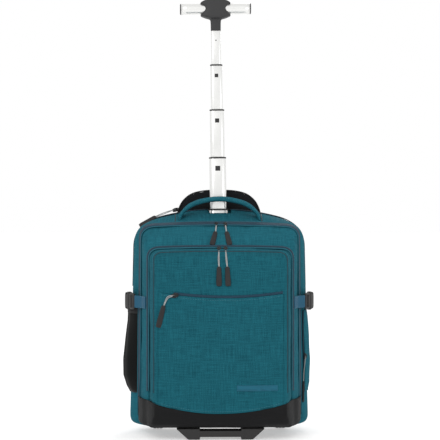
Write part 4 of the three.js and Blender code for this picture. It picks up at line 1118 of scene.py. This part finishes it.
for side, name in SIDES:
    turn = math.radians(24)
    along = np.array([side * math.sin(turn), math.cos(turn), 0])
    out = np.array([side * math.cos(turn), -math.sin(turn), 0])
    middle = np.array([side * 182.5, 17.0, belt_z])

    def stretch(start, end, count, shift=(0, 0, 0)):
        """Points along the buckle, between two distances from its middle."""
        return middle + along * np.linspace(start, end, count)[:, None] + shift

    front_way = curve_points(
        [side_point(side, y, belt_z, lift) for y, lift in ((-44, 1.2), (-34, 1.3), (-22, 1.8))]
        + [middle - along * 22.5], 22)
    rear_way = curve_points(
        [middle + along * 25.9]
        + [side_point(side, rear.face - y, belt_z, lift) for y, lift in ((18, 1.2), (9, 1.2), (3, 1.1))], 18)
    for part, way in (("front", front_way), ("rear", rear_way)):
        belt = bar_loft(f"strap_{part}_{name}", way, out, 25.0, 1.7, teal_strap, 16, 8.0)
        place(belt, replaces=[f"side_strap_{part}_{name}"])
    seams = []
    for level in (-10.5, 10.5):
        seams.append(front_way[:14] + out * 1.1 + (0, 0, level))
        seams.append(rear_way[3:] + out * 1.1 + (0, 0, level))
    place(stitch_rows(f"strap_stitches_{name}", seams, thread_teal))
    # side-release buckle: socket with its two windows, plug with a ladder bar
    body_share = np.linspace(0, 1, 13)
    swell = np.interp(body_share, [0, 0.08, 0.3, 0.6, 0.9, 1], [34, 37.4, 38, 34.5, 34, 31])
    deep = np.interp(body_share, [0, 0.1, 0.5, 0.9, 1], [9.6, 11, 11, 7.6, 5.4])
    socket = bar_loft("socket", stretch(0.15, 25.15, 13), out, swell, deep, plastic, 40, 4.2)
    cut(socket, [bar_loft("window", stretch(6, 17, 5, (0, 0, level)), out, [7.5, 8.5, 8.5, 8, 6.5], 20,
                          plastic, 16, 3) for level in (-16.5, 16.5)])
    prongs = []
    for level in (-1, 1):
        prong_way = stretch(-4, 16.5, 8)
        prong_way[:, 2] += level * np.interp(np.arange(8), [0, 3, 6, 7], [10.5, 14.0, 16.2, 15.0])
        prongs.append(bar_loft("prong", prong_way, out, [4, 4, 4, 4.2, 4.6, 5, 4.4, 2.6], 5.4,
                               plastic, 12, 3))
    tongue = bar_loft("tongue", stretch(-4, 12, 5), out, [6, 5, 4.4, 4, 3], 4, plastic, 12, 3)
    plug_share = np.linspace(0, 1, 11)
    plug_swell = np.interp(plug_share, [0, 0.2, 0.6, 1], [32, 34, 33, 30])
    plug_deep = np.interp(plug_share, [0, 0.3, 0.8, 1], [8.4, 8.6, 6.6, 5.0])
    plug = bar_loft("plug", stretch(-0.2, -22.0, 11), out, plug_swell, plug_deep, plastic, 32, 4.5)
    upright = np.linspace(-12.5, 12.5, 5)[:, None] * (0, 0, 1)
    bars = [bar_loft("rung", middle - along * d + out * 4.0 + upright, out, 1.8, 1.4, plastic, 8, 3)
            for d in (7, 11, 15)]
    buckle = join(f"buckle_{name}", [socket, plug, tongue] + prongs + bars)
    place(buckle, replaces=[f"buckle_socket_{name}", f"buckle_plug_{name}"])
print("side straps and buckles done")


# %% [markdown]
# The left pocket is a stretch net for a bottle. It stands off the side most at its middle, is drawn in
# by an elastic binding at the mouth, and hangs in shallow upright gathers below that binding. The right
# pocket is flat teal cloth with an upright zip along its front edge.

# %% Side pockets
def pouch_rings(side, low, high, front_y, back_y, bulge, rows, across=34, gathers=0.0):
    rings = []
    for height in np.linspace(0, 1, 40):
        share = float(np.interp(height, [r[0] for r in rows], [r[1] for r in rows]))
        z = low + (high - low) * height
        ring = []
        for t in np.linspace(0, 1, across + 1):
            y = front_y + (back_y - front_y) * t
            stand = bulge * share * math.sin(math.pi * t) ** 0.7
            fold = gathers * math.sin(9 * math.pi * t + 0.7 * math.sin(5 * height)) * math.sin(math.pi * t)
            fold *= 0.35 + 0.65 * height ** 2
            ring.append(side_point(side, y, z, 0.9 + stand + fold))
        rings.append(np.array(ring))
    return rings


bottle_low, bottle_high = box_mm("bottle_pocket")
bottle_rows = [(0, 0.06), (0.07, 0.5), (0.2, 0.95), (0.4, 1), (0.65, 0.76), (0.87, 0.53), (1, 0.5)]
bottle_rings = pouch_rings(-1, bottle_low[2] + 1, bottle_high[2] - 0.8, 11, 71, 16.5, bottle_rows,
                           gathers=0.8)
bottle_net = thicken(lofted("bottle_net", bottle_rings, net, closed=False), 0.9, 0)
binding_way = bottle_rings[-1] + (0, 0, 0.2)
binding = bar_loft("bottle_binding", binding_way, (-1, 0, 0), 11.0, 2.2, black_tape, 16, 4)
edges = [tube("edge", [r[i] for r in bottle_rings], 1.0, black_tape, 7) for i in (0, -1)]
edges.append(tube("edge", bottle_rings[0], 1.0, black_tape, 7))
place(join("bottle_pocket_net", [bottle_net, binding] + edges), replaces=["bottle_pocket"])
print("bottle pocket done")

side_low, side_high = box_mm("side_pocket")
side_rows = [(0, 0.05), (0.1, 0.7), (0.4, 1), (0.7, 0.8), (0.92, 0.4), (1, 0.05)]
side_rings = pouch_rings(1, side_low[2] + 0.5, side_high[2] - 0.5, 20.3, 71.5, 5.0, side_rows)
side_cloth = lofted("side_pocket_cloth", side_rings, teal, closed=False)
push(side_cloth, lambda p: 0.35 * ripple(p, 45) + 0.1)
side_cloth = thicken(side_cloth, 1.2, 0)
side_edges = [tube("edge", side_rings[0], 1.1, piping, 7), tube("edge", side_rings[-1], 1.1, piping, 7)]
side_edges.append(tube("edge", [r[-1] for r in side_rings], 1.0, piping, 7))
place(join("side_pocket_dressed", [side_cloth] + side_edges), replaces=["side_pocket"])
side_zip_z = np.linspace(99, 249, 60)
zip_way = np.array([side_point(1, 17.2, z, 1.0) for z in side_zip_z])
side_tape = bar_loft("tape", zip_way, (1, 0, 0), 6.6, 0.9, tape, 16, 6)
spiral = wiggled(curve_points(zip_way + (0.8, 0, 0), 110), 0.6, 1)
side_coil = tube("coil", spiral, 0.6, coil, 5)
place(join("side_zip", [side_tape, side_coil]), replaces=["side_pocket_zip"])
zip_pull("zip_pull_side", surface_of(rear_cloth, main_cloth), [
    (0, 17, 156), (0, 15, 128), (0, 15, 105), (0, 14, 62)], (1, 0, 0), 1.4)
print("side pocket done")


# %% [markdown]
# The back carries the padding: a panel against the wearer, a yoke that shows as a black hump behind the
# pole, and two shoulder straps. Foam under cloth swells between its seams, which is what a pressure
# simulation does well: the pad is remeshed evenly, blown up a little with gravity off, and each point's
# way is capped. The sewn channels are pressed in afterwards, because a remesh would lose them.

# %% Padding
fill_frames = 20


def puff(obj, pressure, cap, voxel):
    remesh = obj.modifiers.new("even", "REMESH")
    remesh.mode, remesh.voxel_size = "VOXEL", voxel * MM
    apply_modifiers(obj)
    rest = points_of(obj)
    fill = obj.modifiers.new("fill", "CLOTH")
    fill.settings.use_pressure = True
    fill.settings.uniform_pressure_force = pressure
    fill.settings.effector_weights.gravity = 0
    fill.settings.quality = 4
    fill.point_cache.frame_start, fill.point_cache.frame_end = 1, fill_frames
    for step in range(1, fill_frames + 1):
        bpy.context.scene.frame_set(step)
    graph = bpy.context.evaluated_depsgraph_get()
    way = points_of(obj.evaluated_get(graph)) - rest
    obj.modifiers.clear()
    far = np.linalg.norm(way, axis=1, keepdims=True)
    move_to(obj, rest + way * np.minimum(1, cap / np.maximum(far, 1e-6)))
    bpy.context.scene.frame_set(1)
    obj.data.update()
    obj.data.polygons.foreach_set("use_smooth", [True] * len(obj.data.polygons))
    even_out = obj.modifiers.new("even_out", "SMOOTH")
    even_out.factor, even_out.iterations = 0.5, 5
    apply_modifiers(obj)
    return subdivide(obj, 1)


def plate(name, flat, y_from, y_to, edge, material):
    """A pad before filling: a front-view outline drawn back over its edges."""
    middle = (flat.max(0) + flat.min(0)) / 2
    half = (flat.max(0) - flat.min(0)) / 2
    rings = []
    for y, pull in ((y_from, edge), (y_from + edge * 0.4, edge * 0.3), (y_from + edge, 0), (y_to - edge, 0),
                    (y_to - edge * 0.4, edge * 0.3), (y_to, edge)):
        ring = middle + (flat - middle) * (1 - pull / half)
        rings.append(at_y(ring, y))
    return lofted(name, rings, material, caps=True)


def clamp_y(obj, low, high):
    points = points_of(obj)
    points[:, 1] = np.clip(points[:, 1], low, high)
    return move_to(obj, points)


panel_low, panel_high = box_mm("back_panel")
panel_flat = outline(panel_high[0], panel_high[0] - 12, panel_low[2], panel_high[2], 8, 26, 28)
panel = plate("back_pad", panel_flat, panel_low[1] + 0.4, panel_high[1] - 1.6, 4, spacer)
puff(panel, 4.0, 2.6, 6)


def channels(p):
    """The spine groove, the sewn lines beside it and the slanting ones across the back."""
    x, z = np.abs(p[:, 0]), p[:, 2]
    on_back = p[:, 1] > panel_low[1] + 6
    press = 5.0 * np.exp(-(x / 13) ** 2) + 2.6 * np.exp(-((x - 82) / 3.2) ** 2)
    for level in (150, 226, 302, 378):
        press += 3.2 * np.exp(-((z - level - 0.10 * x) / 3.0) ** 2) * (x > 12)
    press += 2.0 * np.exp(-((x - 148) / 3.2) ** 2)
    return -np.minimum(press, 5.5) * on_back


push(panel, channels)
clamp_y(panel, panel_low[1], panel_high[1] + 0.2)
place(panel, replaces=["back_panel"])
edge_flat = outline(panel_high[0] - 5, panel_high[0] - 17, panel_low[2] + 5, panel_high[2] - 5, 8, 22, 24)
panel_edge = at_y(edge_flat, panel_low[1] + 4.5)
place(tube("back_pad_binding", panel_edge, 4.2, black_tape, 10, closed=True))
print("back pad:", len(panel.data.polygons))

yoke_low, yoke_high = box_mm("strap_yoke")
share = np.array([(0.9, 0), (0.97, 0.18), (1, 0.42), (0.96, 0.6), (0.85, 0.78), (0.65, 0.92), (0.36, 0.985),
                  (0, 1)])
yoke_right = curve_points(share * (yoke_high[0], yoke_high[2] - yoke_low[2]) + (0, yoke_low[2]), 30)
yoke_flat = np.concatenate([yoke_right, (yoke_right[:-1] * (-1, 1))[::-1]])
yoke_outline = yoke_flat * (1.012, 1) + (0, 1.2)
yoke = plate("yoke_pad", yoke_outline, yoke_low[1] + 0.4, yoke_high[1] - 1.5, 3, pad_cloth)
puff(yoke, 4.0, 1.8, 5)
clamp_y(yoke, yoke_low[1], yoke_high[1] + 0.4)
place(yoke, replaces=["strap_yoke"])
yoke_edge = np.stack([yoke_right[4:, 0] * 0.985, np.full(26, yoke_low[1] + 2), yoke_right[4:, 1] - 1.4], 1)
yoke_edge = np.concatenate([yoke_edge, (yoke_edge[:-1] * (-1, 1, 1))[::-1]])
place(tube("yoke_binding", yoke_edge, 1.5, black_tape, 8))
print("yoke:", len(yoke.data.polygons))

# %% [markdown]
# A shoulder strap keeps its width and bows off the panel so that an arm passes under it. It is a flat
# padded bar along one curve, with a bound edge, a length of webbing stitched down its middle, and a
# ladder lock and a webbing tail below.

# %% Shoulder straps
strap_top_x, strap_foot_x, strap_bow, strap_wide = 56, 100, 8, 60
# each row: share of the way down, of the way out, of the bow and of the width
strap_rows = np.array([(0, 0, 0, 1), (0.12, 0.06, 0.5, 1.03), (0.3, 0.2, 1, 1.04), (0.55, 0.5, 1, 1),
                       (0.78, 0.82, 0.7, 0.94), (0.92, 0.95, 0.2, 0.86), (1, 1, 0, 0.74)])


def dress(node_name, material, bevel, body="root"):
    """A CAD solid with its edges rounded, for hard pieces whose form is already right."""
    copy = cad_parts[node_name].data.copy()
    copy.materials.clear()
    copy.materials.append(material)
    obj = in_scene(node_name + "_dressed", copy)
    with editing(obj) as bm:
        bmesh.ops.remove_doubles(bm, verts=bm.verts, dist=1e-5)
        bmesh.ops.dissolve_limit(bm, angle_limit=0.02, verts=bm.verts, edges=bm.edges)
    copy.polygons.foreach_set("use_smooth", [False] * len(copy.polygons))
    round_off = obj.modifiers.new("round", "BEVEL")
    round_off.width, round_off.segments = bevel * MM, 3
    round_off.limit_method, round_off.angle_limit = "ANGLE", math.radians(32)
    round_off.harden_normals = False
    apply_modifiers(obj)
    obj.data.polygons.foreach_set("use_smooth", [True] * len(obj.data.polygons))
    normals = obj.modifiers.new("normals", "WEIGHTED_NORMAL")
    normals.keep_sharp = True
    apply_modifiers(obj)
    return place(obj, body, [node_name])


for side, name in SIDES:
    low, high = box_mm(f"shoulder_strap_{name}")
    rows = np.stack([
        side * (strap_top_x + (strap_foot_x - strap_top_x) * strap_rows[:, 1]),
        yoke_low[1] + strap_rows[:, 2] * strap_bow + 5.0,
        high[2] - (high[2] - low[2]) * strap_rows[:, 0], strap_rows[:, 3] * strap_wide], 1)
    smooth = curve_points(rows, 46)
    way, widths = smooth[:, :3], smooth[:, 3]
    strap = bar_loft(f"strap_{name}", way, (0, 1, 0), widths - 1.5, 8.6, pad_cloth, 40, 4.0)
    push(strap, lambda p: 0.35 * ripple(p, 38))
    place(strap, replaces=[f"shoulder_strap_{name}"])
    across = unit(np.cross(np.gradient(way, axis=0), (0, 1, 0)))
    edge_out = across * (widths[:, None] / 2 - 1.2)
    edges = [tube("edge", way + edge_out * s, 1.7, black_tape, 8) for s in (-1, 1)]
    web = bar_loft("web", way[2:-1] + (0, 4.6, 0), (0, 1, 0), 20.0, 1.6, black_tape, 12, 8)
    place(join(f"strap_trim_{name}", edges + [web]))
    lines = [way[3:-2] + (0, 5.5, 0) + across[3:-2] * s * 8.5 for s in (-1, 1)]
    lines += [way[2:-2] + (0, 4.3, 0) + across[2:-2] * s * (widths[2:-2, None] / 2 - 5.5) for s in (-1, 1)]
    place(stitch_rows(f"strap_sewing_{name}", lines, thread_black))
    dress(f"ladder_lock_{name}", plastic, 0.9)
    dress(f"strap_webbing_{name}", black_tape, 0.3)
print("shoulder straps done")

# %% [markdown]
# The grab handle is the teal arch in front of the pole: padding rolled in cloth, thickest in the hand
# and flatter where it is sewn down. A row of stitches runs along each of its edges. The seams across
# the bag's top are added here too, with a black cord along its back edge that is painted shadow.

# %% Grab handle
grip_low, grip_high = box_mm("grab_handle")
arch = np.array([(-1, -0.86), (-0.93, -0.56), (-0.7, -0.24), (-0.36, -0.06), (0, 0), (0.36, -0.06),
                 (0.7, -0.24), (0.93, -0.56), (1, -0.86)])
arch = curve_points(arch * (83, 52) + (0, grip_high[2] - 5.2), 61)
grip_y = (grip_low[1] + grip_high[1]) / 2
grip_way = at_y(arch, grip_y)
station = np.abs(np.linspace(-1, 1, 61))
grip_wide = np.interp(station, [0, 0.6, 0.85, 1], [22, 22, 23, 24])
grip_thick = np.interp(station, [0, 0.6, 0.85, 1], [10.6, 10.2, 8.2, 6.0])
handle = bar_loft("grab_handle_pad", grip_way, (0, 0, 1), grip_wide, grip_thick, teal, 32, 2.6)
push(handle, lambda p: 0.22 * ripple(p, 26))
place(handle, replaces=["grab_handle"])
upward = np.cross(unit(np.gradient(grip_way, axis=0)), (0, -1, 0))
upward *= np.sign(upward[:, 2:3])
lines = [grip_way[4:-4] + upward[4:-4] * 2.0 + (0, s * 11.0, 0) for s in (-1, 1)]
place(stitch_rows("grab_handle_sewing", lines, thread_teal))
top_of_bag = surface_of(rear_cloth, main_cloth)
seams = []
for x in (-91, 87):
    seam_way = np.array([lay(top_of_bag, (x, y, 430), (0, 0, 1), 0.2) for y in np.linspace(10, 60, 24)])
    seams.append(tube("seam", seam_way, 0.9, coil, 6))
# A black cord on the back edge of the top: painted shadow, the dark line where the top meets the back.
back_edge = round_the_top(rear.ring(0.965, 0.4), 90)
seams.append(tube("back_binding", back_edge, 1.7, coated, 8))
place(join("top_seams", seams))
print("grab handle done")

# %% [markdown]
# Sewing is part of the look up close. A row of stitches follows the base seam and another the flat
# pocket's zip, each lying on the cloth where a machine would run. A plain woven bar in a lighter teal
# marks the lower right of the flat pocket.

# %% Sewing on the front
label = face_patch("label_bar", 1.9, teal_label, lambda x: 100 + 0 * x, lambda x: 111.5 + 0 * x, 31, 112, 0.5)
place(label)
face = surface_of(pocket_cloth, flat_cloth)
seam_x = np.linspace(-117, 117, 60)
lines = [lay_front(face, np.stack([seam_x, z], 1), 0.1)
         for z in (seam_z(seam_x) + 5, zip_line(seam_x) - 4.5)]
place(stitch_rows("front_sewing", lines, thread_teal, radius=0.3))
print("sewing done")


# %% [markdown]
# The moulded base parts already have the right form in the frame, so they are its solids with rounded
# edges. The wheels are turned: one profile spun round the axle, a tread cut as grooves in that profile,
# and five ribs laid on each hub.

# %% Base and wheels
dress("front_foot", plastic, 1.6)
dress("chassis", plastic, 0.8)
for name in ("left", "right"):
    dress(f"wheel_housing_{name}", plastic, 1.6)


def turned(name, profile, middle, material, steps=72):
    """A closed profile of (radius, x) spun round an axle along X."""
    turn = np.linspace(0, 2 * math.pi, steps, endpoint=False)
    rings = [np.array([(middle[0] + x, middle[1] + r * math.cos(t), middle[2] + r * math.sin(t))
                       for r, x in profile]) for t in turn]
    obj = make(name, *loft(rings + [rings[0]]), material)
    with editing(obj) as bm:
        bmesh.ops.remove_doubles(bm, verts=bm.verts, dist=1e-6)
    return outward(obj)


for side, name in SIDES:
    low, high = box_mm(f"wheel_tyre_{name}")
    axle = (low + high) / 2
    half = (high[0] - low[0]) / 2
    wide = (high[2] - low[2]) / 2
    inner = wide - 6
    near = [(inner + 0.1, -half + 1.2), (wide - 5, -half + 0.2), (wide - 2.4, -half + 0.6),
            (wide - 0.6, -half + 2.4), (wide, -half + 4.4), (wide, -4.2), (wide - 1.1, -3.6),
            (wide - 1.1, -2.8), (wide, -2.2)]
    tyre = near + [(r, -x) for r, x in near[::-1]]
    tread = turned(f"tyre_{name}", tyre, axle, tyre_rubber)
    place(tread, f"wheel_{name}", [f"wheel_tyre_{name}"])
    near = [(4.0, -half), (11.5, -half), (12.8, -half + 0.8), (14.5, -7.4), (inner - 2.2, -7.0),
            (inner - 1.0, -9.0), (inner - 0.2, -9.0)]
    hub = near + [(r, -x) for r, x in near[::-1]]
    wheel = [turned("hub", hub, axle, hub_plastic)]
    for face_side in (-1, 1):
        for k in range(5):
            t = 2 * math.pi * k / 5
            outer = np.array([0, math.cos(t), math.sin(t)])
            way = axle + (face_side * 8.2, 0, 0) + outer * np.linspace(12, inner - 1.2, 6)[:, None]
            rib_wide = [4.6, 4.2, 3.8, 3.6, 3.6, 3.8]
            wheel.append(bar_loft("rib", way, (1, 0, 0), rib_wide, 3.4, hub_plastic, 10, 3))
    place(join(f"hub_{name}", wheel), f"wheel_{name}", [f"wheel_hub_{name}"])
print("wheels done")

# %% [markdown]
# The pole is four tubes sliding in a fifth. Aluminium of this kind is drawn, brushed and anodised: a
# flat oval with a soft gloss that mirrors the white room, so its edges read grey. The group leans a
# little, so its pieces are drawn upright and leaned together.

# %% Pole
pole_x, pole_y, pole_lean = 4.3, float(pole_middle[1]), math.radians(0.79)
stage_width = [20.1, 24.5, 29.6, 34.6, 39.6]
oval_slim, stage_overlap, pin_z = 8, 45, 810  # a tube's width over its depth; length inside the next one
collar_top = [None] + [box_mm(f"pole_collar_{k}")[1][2] for k in (2, 3, 4)] + [box_mm("pole_grommet")[1][2]]
stage_top = [box_mm("pole_stage_1")[1][2]] + [top - 3.0 for top in collar_top[1:]]
bodies = ["stage_1", "stage_2", "stage_3", "stage_4", "root"]


def lean(points):
    points = np.asarray(points, float)
    s, c = math.sin(pole_lean), math.cos(pole_lean)
    return np.stack([pole_x + points[:, 0] * c - points[:, 2] * s, pole_y + points[:, 1],
                     points[:, 0] * s + points[:, 2] * c], 1)


def oval(width, grow, z):
    depth = width - oval_slim
    radius = depth * 0.36 + grow
    x, y = width / 2 + grow, depth / 2 + grow
    ring = []
    for k, (sx, sy) in enumerate(((1, 1), (-1, 1), (-1, -1), (1, -1))):
        for t in np.linspace(k * math.pi / 2, (k + 1) * math.pi / 2, 8):
            ring.append((sx * (x - radius) + radius * math.cos(t),
                         sy * (y - radius) + radius * math.sin(t), z))
    return np.array(ring)


def pipe(name, sections, material):
    """A ring-shaped loft through (width, grow, z) sections that closes on itself."""
    rings = [lean(oval(*s)) for s in sections]
    return lofted(name, rings + [rings[0]], material)


for k in range(5):
    width, top = stage_width[k], stage_top[k]
    node_name = "pole_outer_tube" if k == 4 else f"pole_stage_{k + 1}"
    bottom = box_mm(node_name)[0][2] if k == 4 else stage_top[k + 1] - stage_overlap
    sections = [(-0.3, bottom), (0, bottom + 0.4), (0, top - 0.4), (-0.3, top), (-1, top), (-1, bottom)]
    tube_piece = pipe(f"tube_{k + 1}", [(width, grow, z) for grow, z in sections], silver)
    if k == 0:
        tube_front = -(width - oval_slim) / 2
        pin = lean([(0, tube_front - 0.2, pin_z), (0, tube_front + 0.6, pin_z)])
        tube_piece = join("tube_1", [tube_piece, tube("pin", pin, 1.3, dark_metal, 14)])
    place(tube_piece, bodies[k], [node_name])
    if k:
        inner = stage_width[k - 1]
        growth = (width - inner) / 2
        z0, z1 = top + 0.3, top + 2.9
        collar = pipe(f"collar_{k + 1}", [
            (inner, growth + 0.2, z0), (inner, growth + 0.6, z0 + 0.4), (inner, growth + 0.6, z1 - 0.7),
            (inner, growth + 0.1, z1), (inner, 0.4, z1), (inner, 0.4, z0)], plastic)
        place(collar, bodies[k], ["pole_grommet" if k == 4 else f"pole_collar_{k + 1}"])
    if 0 < k < 4:
        dress(f"pole_lock_{k + 1}", plastic, 0.5, bodies[k])
print("pole tops:", [round(t, 1) for t in stage_top])

# %% [markdown]
# The T handle is a hub moulded round a tube. Seen from the front the hub flares at its top and foot and
# is waisted between, so it is lofted upwards from rounded sections whose width follows that curve. The
# button is a separate pale piece in a hole in the hub's top.

# %% T handle
bar_low, bar_high = box_mm("handle_bar")
bar_middle = (bar_low + bar_high) / 2
bar_z = (bar_middle[2]) / math.cos(pole_lean)
bar_half = (bar_high[0] - bar_low[0]) / 2
# each row: height over the bar, half width, depth
hub_curve = [(-45.0, 10.4, 14.0), (-30, 10.6, 14.0), (-22.5, 11.2, 15.0), (-20.5, 15.0, 22.0),
             (-18.6, 21.5, 28.0), (-15.0, 30.2, 30.0), (-13.2, 31.4, 30.0), (-10, 28.6, 30.0),
             (-5, 24.6, 30.0), (0, 22.6, 30.0), (5, 24.4, 30.0), (9, 28.2, 30.0), (11.8, 31.4, 30.0),
             (13.6, 30.6, 29.6), (16, 27.0, 28.4), (18, 23.0, 26.5), (19.2, 19.5, 24.0)]
levels = np.array([h[0] for h in hub_curve])
fine = np.concatenate([np.linspace(levels[0], -22, 10), np.linspace(-21.5, 19.2, 56)])
hub_rings = []
for z in fine:
    w, d = (float(np.interp(z, levels, [h[c] for h in hub_curve])) for c in (1, 2))
    flat = rounded(2 * w, d, count=44, power=4.0)
    hub_rings.append(lean(np.stack([flat[:, 0], flat[:, 1], np.full(44, bar_z + z)], 1)))
hub_body = lofted("handle_hub_body", hub_rings, hub_plastic, caps=True)
button_low, button_high = box_mm("release_button")
cut(hub_body, [block((button_low[0] - 0.2, button_low[1] - 0.2, button_low[2] - 2.4),
                     (button_high[0] + 0.2, button_high[1] + 0.2, button_high[2] + 5))])
place(hub_body, "stage_1", ["handle_hub"])
bar_ends = lean([(-bar_half + 0.2, 0, bar_z), (bar_half - 0.2, 0, bar_z)])
bar = tube("handle_tube", curve_points(bar_ends, 12), 11.2, silver, 48)
caps = []
for side in (-1, 1):
    start = bar_ends[0 if side < 0 else 1]
    way = start + np.array([(-0.4, 0, 0), (0.4, 0, 0), (1.0, 0, 0), (1.5, 0, 0)]) * side
    caps.append(tube("cap", way, np.array([11.3, 11.3, 10.9, 9.6]), plastic, 48))
place(bar, "stage_1", ["handle_bar"])
place(join("handle_caps", caps), "stage_1")
button_mid = (button_low + button_high) / 2
button_way = [(button_mid[0], button_mid[1], z) for z in np.linspace(button_low[2], button_high[2], 7)]
button_size = button_high - button_low
button = bar_loft("button_cap", button_way, (0, 1, 0), button_size[0] * np.array([1, 1, 1, 1, 1, 0.97, 0.86]),
                  button_size[1] * np.array([1, 1, 1, 1, 1, 0.96, 0.82]), pale_plastic, 28, 5)
place(button, "button", ["release_button"])
print("handle done")


# %% [markdown]
# Cloth coordinates come last, once every mesh is final. Each face is laid flat along its main
# direction and its corners take their real position in metres, so a 0.9 mm thread is 0.9 mm wide on
# every panel, whatever its shape.

# %% Cloth coordinates
def lay_flat(obj):
    mesh = obj.data
    layer = mesh.uv_layers.get("cloth") or mesh.uv_layers.new(name="cloth")
    count = len(mesh.loops)
    corner = np.zeros(count, int)
    mesh.loops.foreach_get("vertex_index", corner)
    co = np.zeros(len(mesh.vertices) * 3)
    mesh.vertices.foreach_get("co", co)
    place_of = co.reshape(-1, 3)[corner]
    normals = np.zeros(len(mesh.polygons) * 3)
    mesh.polygons.foreach_get("normal", normals)
    totals = np.zeros(len(mesh.polygons), int)
    mesh.polygons.foreach_get("loop_total", totals)
    main_axis = np.repeat(np.abs(normals.reshape(-1, 3)).argmax(1), totals)
    u = np.where(main_axis == 0, place_of[:, 1], place_of[:, 0])
    v = np.where(main_axis == 2, place_of[:, 1], place_of[:, 2])
    layer.data.foreach_set("uv", np.stack([u, v], 1).astype(np.float32).ravel())


for piece in [o for o in bpy.data.objects if o.type == "MESH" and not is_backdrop(o)]:
    lay_flat(piece)

# %% [markdown]
# The photograph is a plain product shot: white all round, soft light from the front and above, no hard
# shadow. A wide pale floor, a white world and three large area lights give that.

# %% Floor, light and camera
floor_material, floor_shader = finish_base("pale_floor", 0.9, specular=0.1)[::2]
floor_shader.inputs["Base Color"].default_value = (0.62, 0.62, 0.62, 1)
floor_shader.inputs["Emission Color"].default_value = (1, 1, 1, 1)
floor_shader.inputs["Emission Strength"].default_value = 0.42
floor_half, floor_z = 40000, -0.4
corners = [(x * floor_half, y * floor_half, floor_z) for x, y in ((-1, -1), (1, -1), (1, 1), (-1, 1))]
floor = make("floor", corners, [(0, 1, 2, 3)], floor_material)
world = bpy.data.worlds.new("studio")
bpy.context.scene.world = world
world.use_nodes = True
background = world.node_tree.nodes["Background"]
background.inputs["Color"].default_value = (1, 1, 1, 1)
background.inputs["Strength"].default_value = 1.0


def area_light(name, location, target, size, power):
    data = bpy.data.lights.new(name, "AREA")
    data.shape, data.size, data.energy = "DISK", size, power
    obj = in_scene(name, data)
    obj.location = location
    obj.rotation_euler = (Vector(target) - Vector(location)).to_track_quat("-Z", "Y").to_euler()
    return obj


area_light("key", (-1.4, -2.2, 1.9), (0, 0, 0.3), 1.2, 20)
area_light("fill", (1.8, -1.8, 1.0), (0, 0, 0.3), 1.4, 9)
area_light("back", (0.6, 2.4, 1.8), (0, 0, 0.4), 1.2, 18)
camera_data = bpy.data.cameras.new("camera")
camera_data.lens = 107.5
camera_data.clip_end = 200
camera = in_scene("camera", camera_data)
aim = Vector((0.0004, 0.0, 0.4358))
azimuth, distance = math.radians(-1.2), 2.68
camera.location = aim + distance * Vector((math.sin(azimuth), -math.cos(azimuth), 0))
camera.rotation_euler = (aim - camera.location).to_track_quat("-Z", "Y").to_euler()
bpy.context.scene.camera = camera
bpy.context.scene.view_settings.view_transform = "Standard"
print("camera at", [round(c, 3) for c in camera.location])
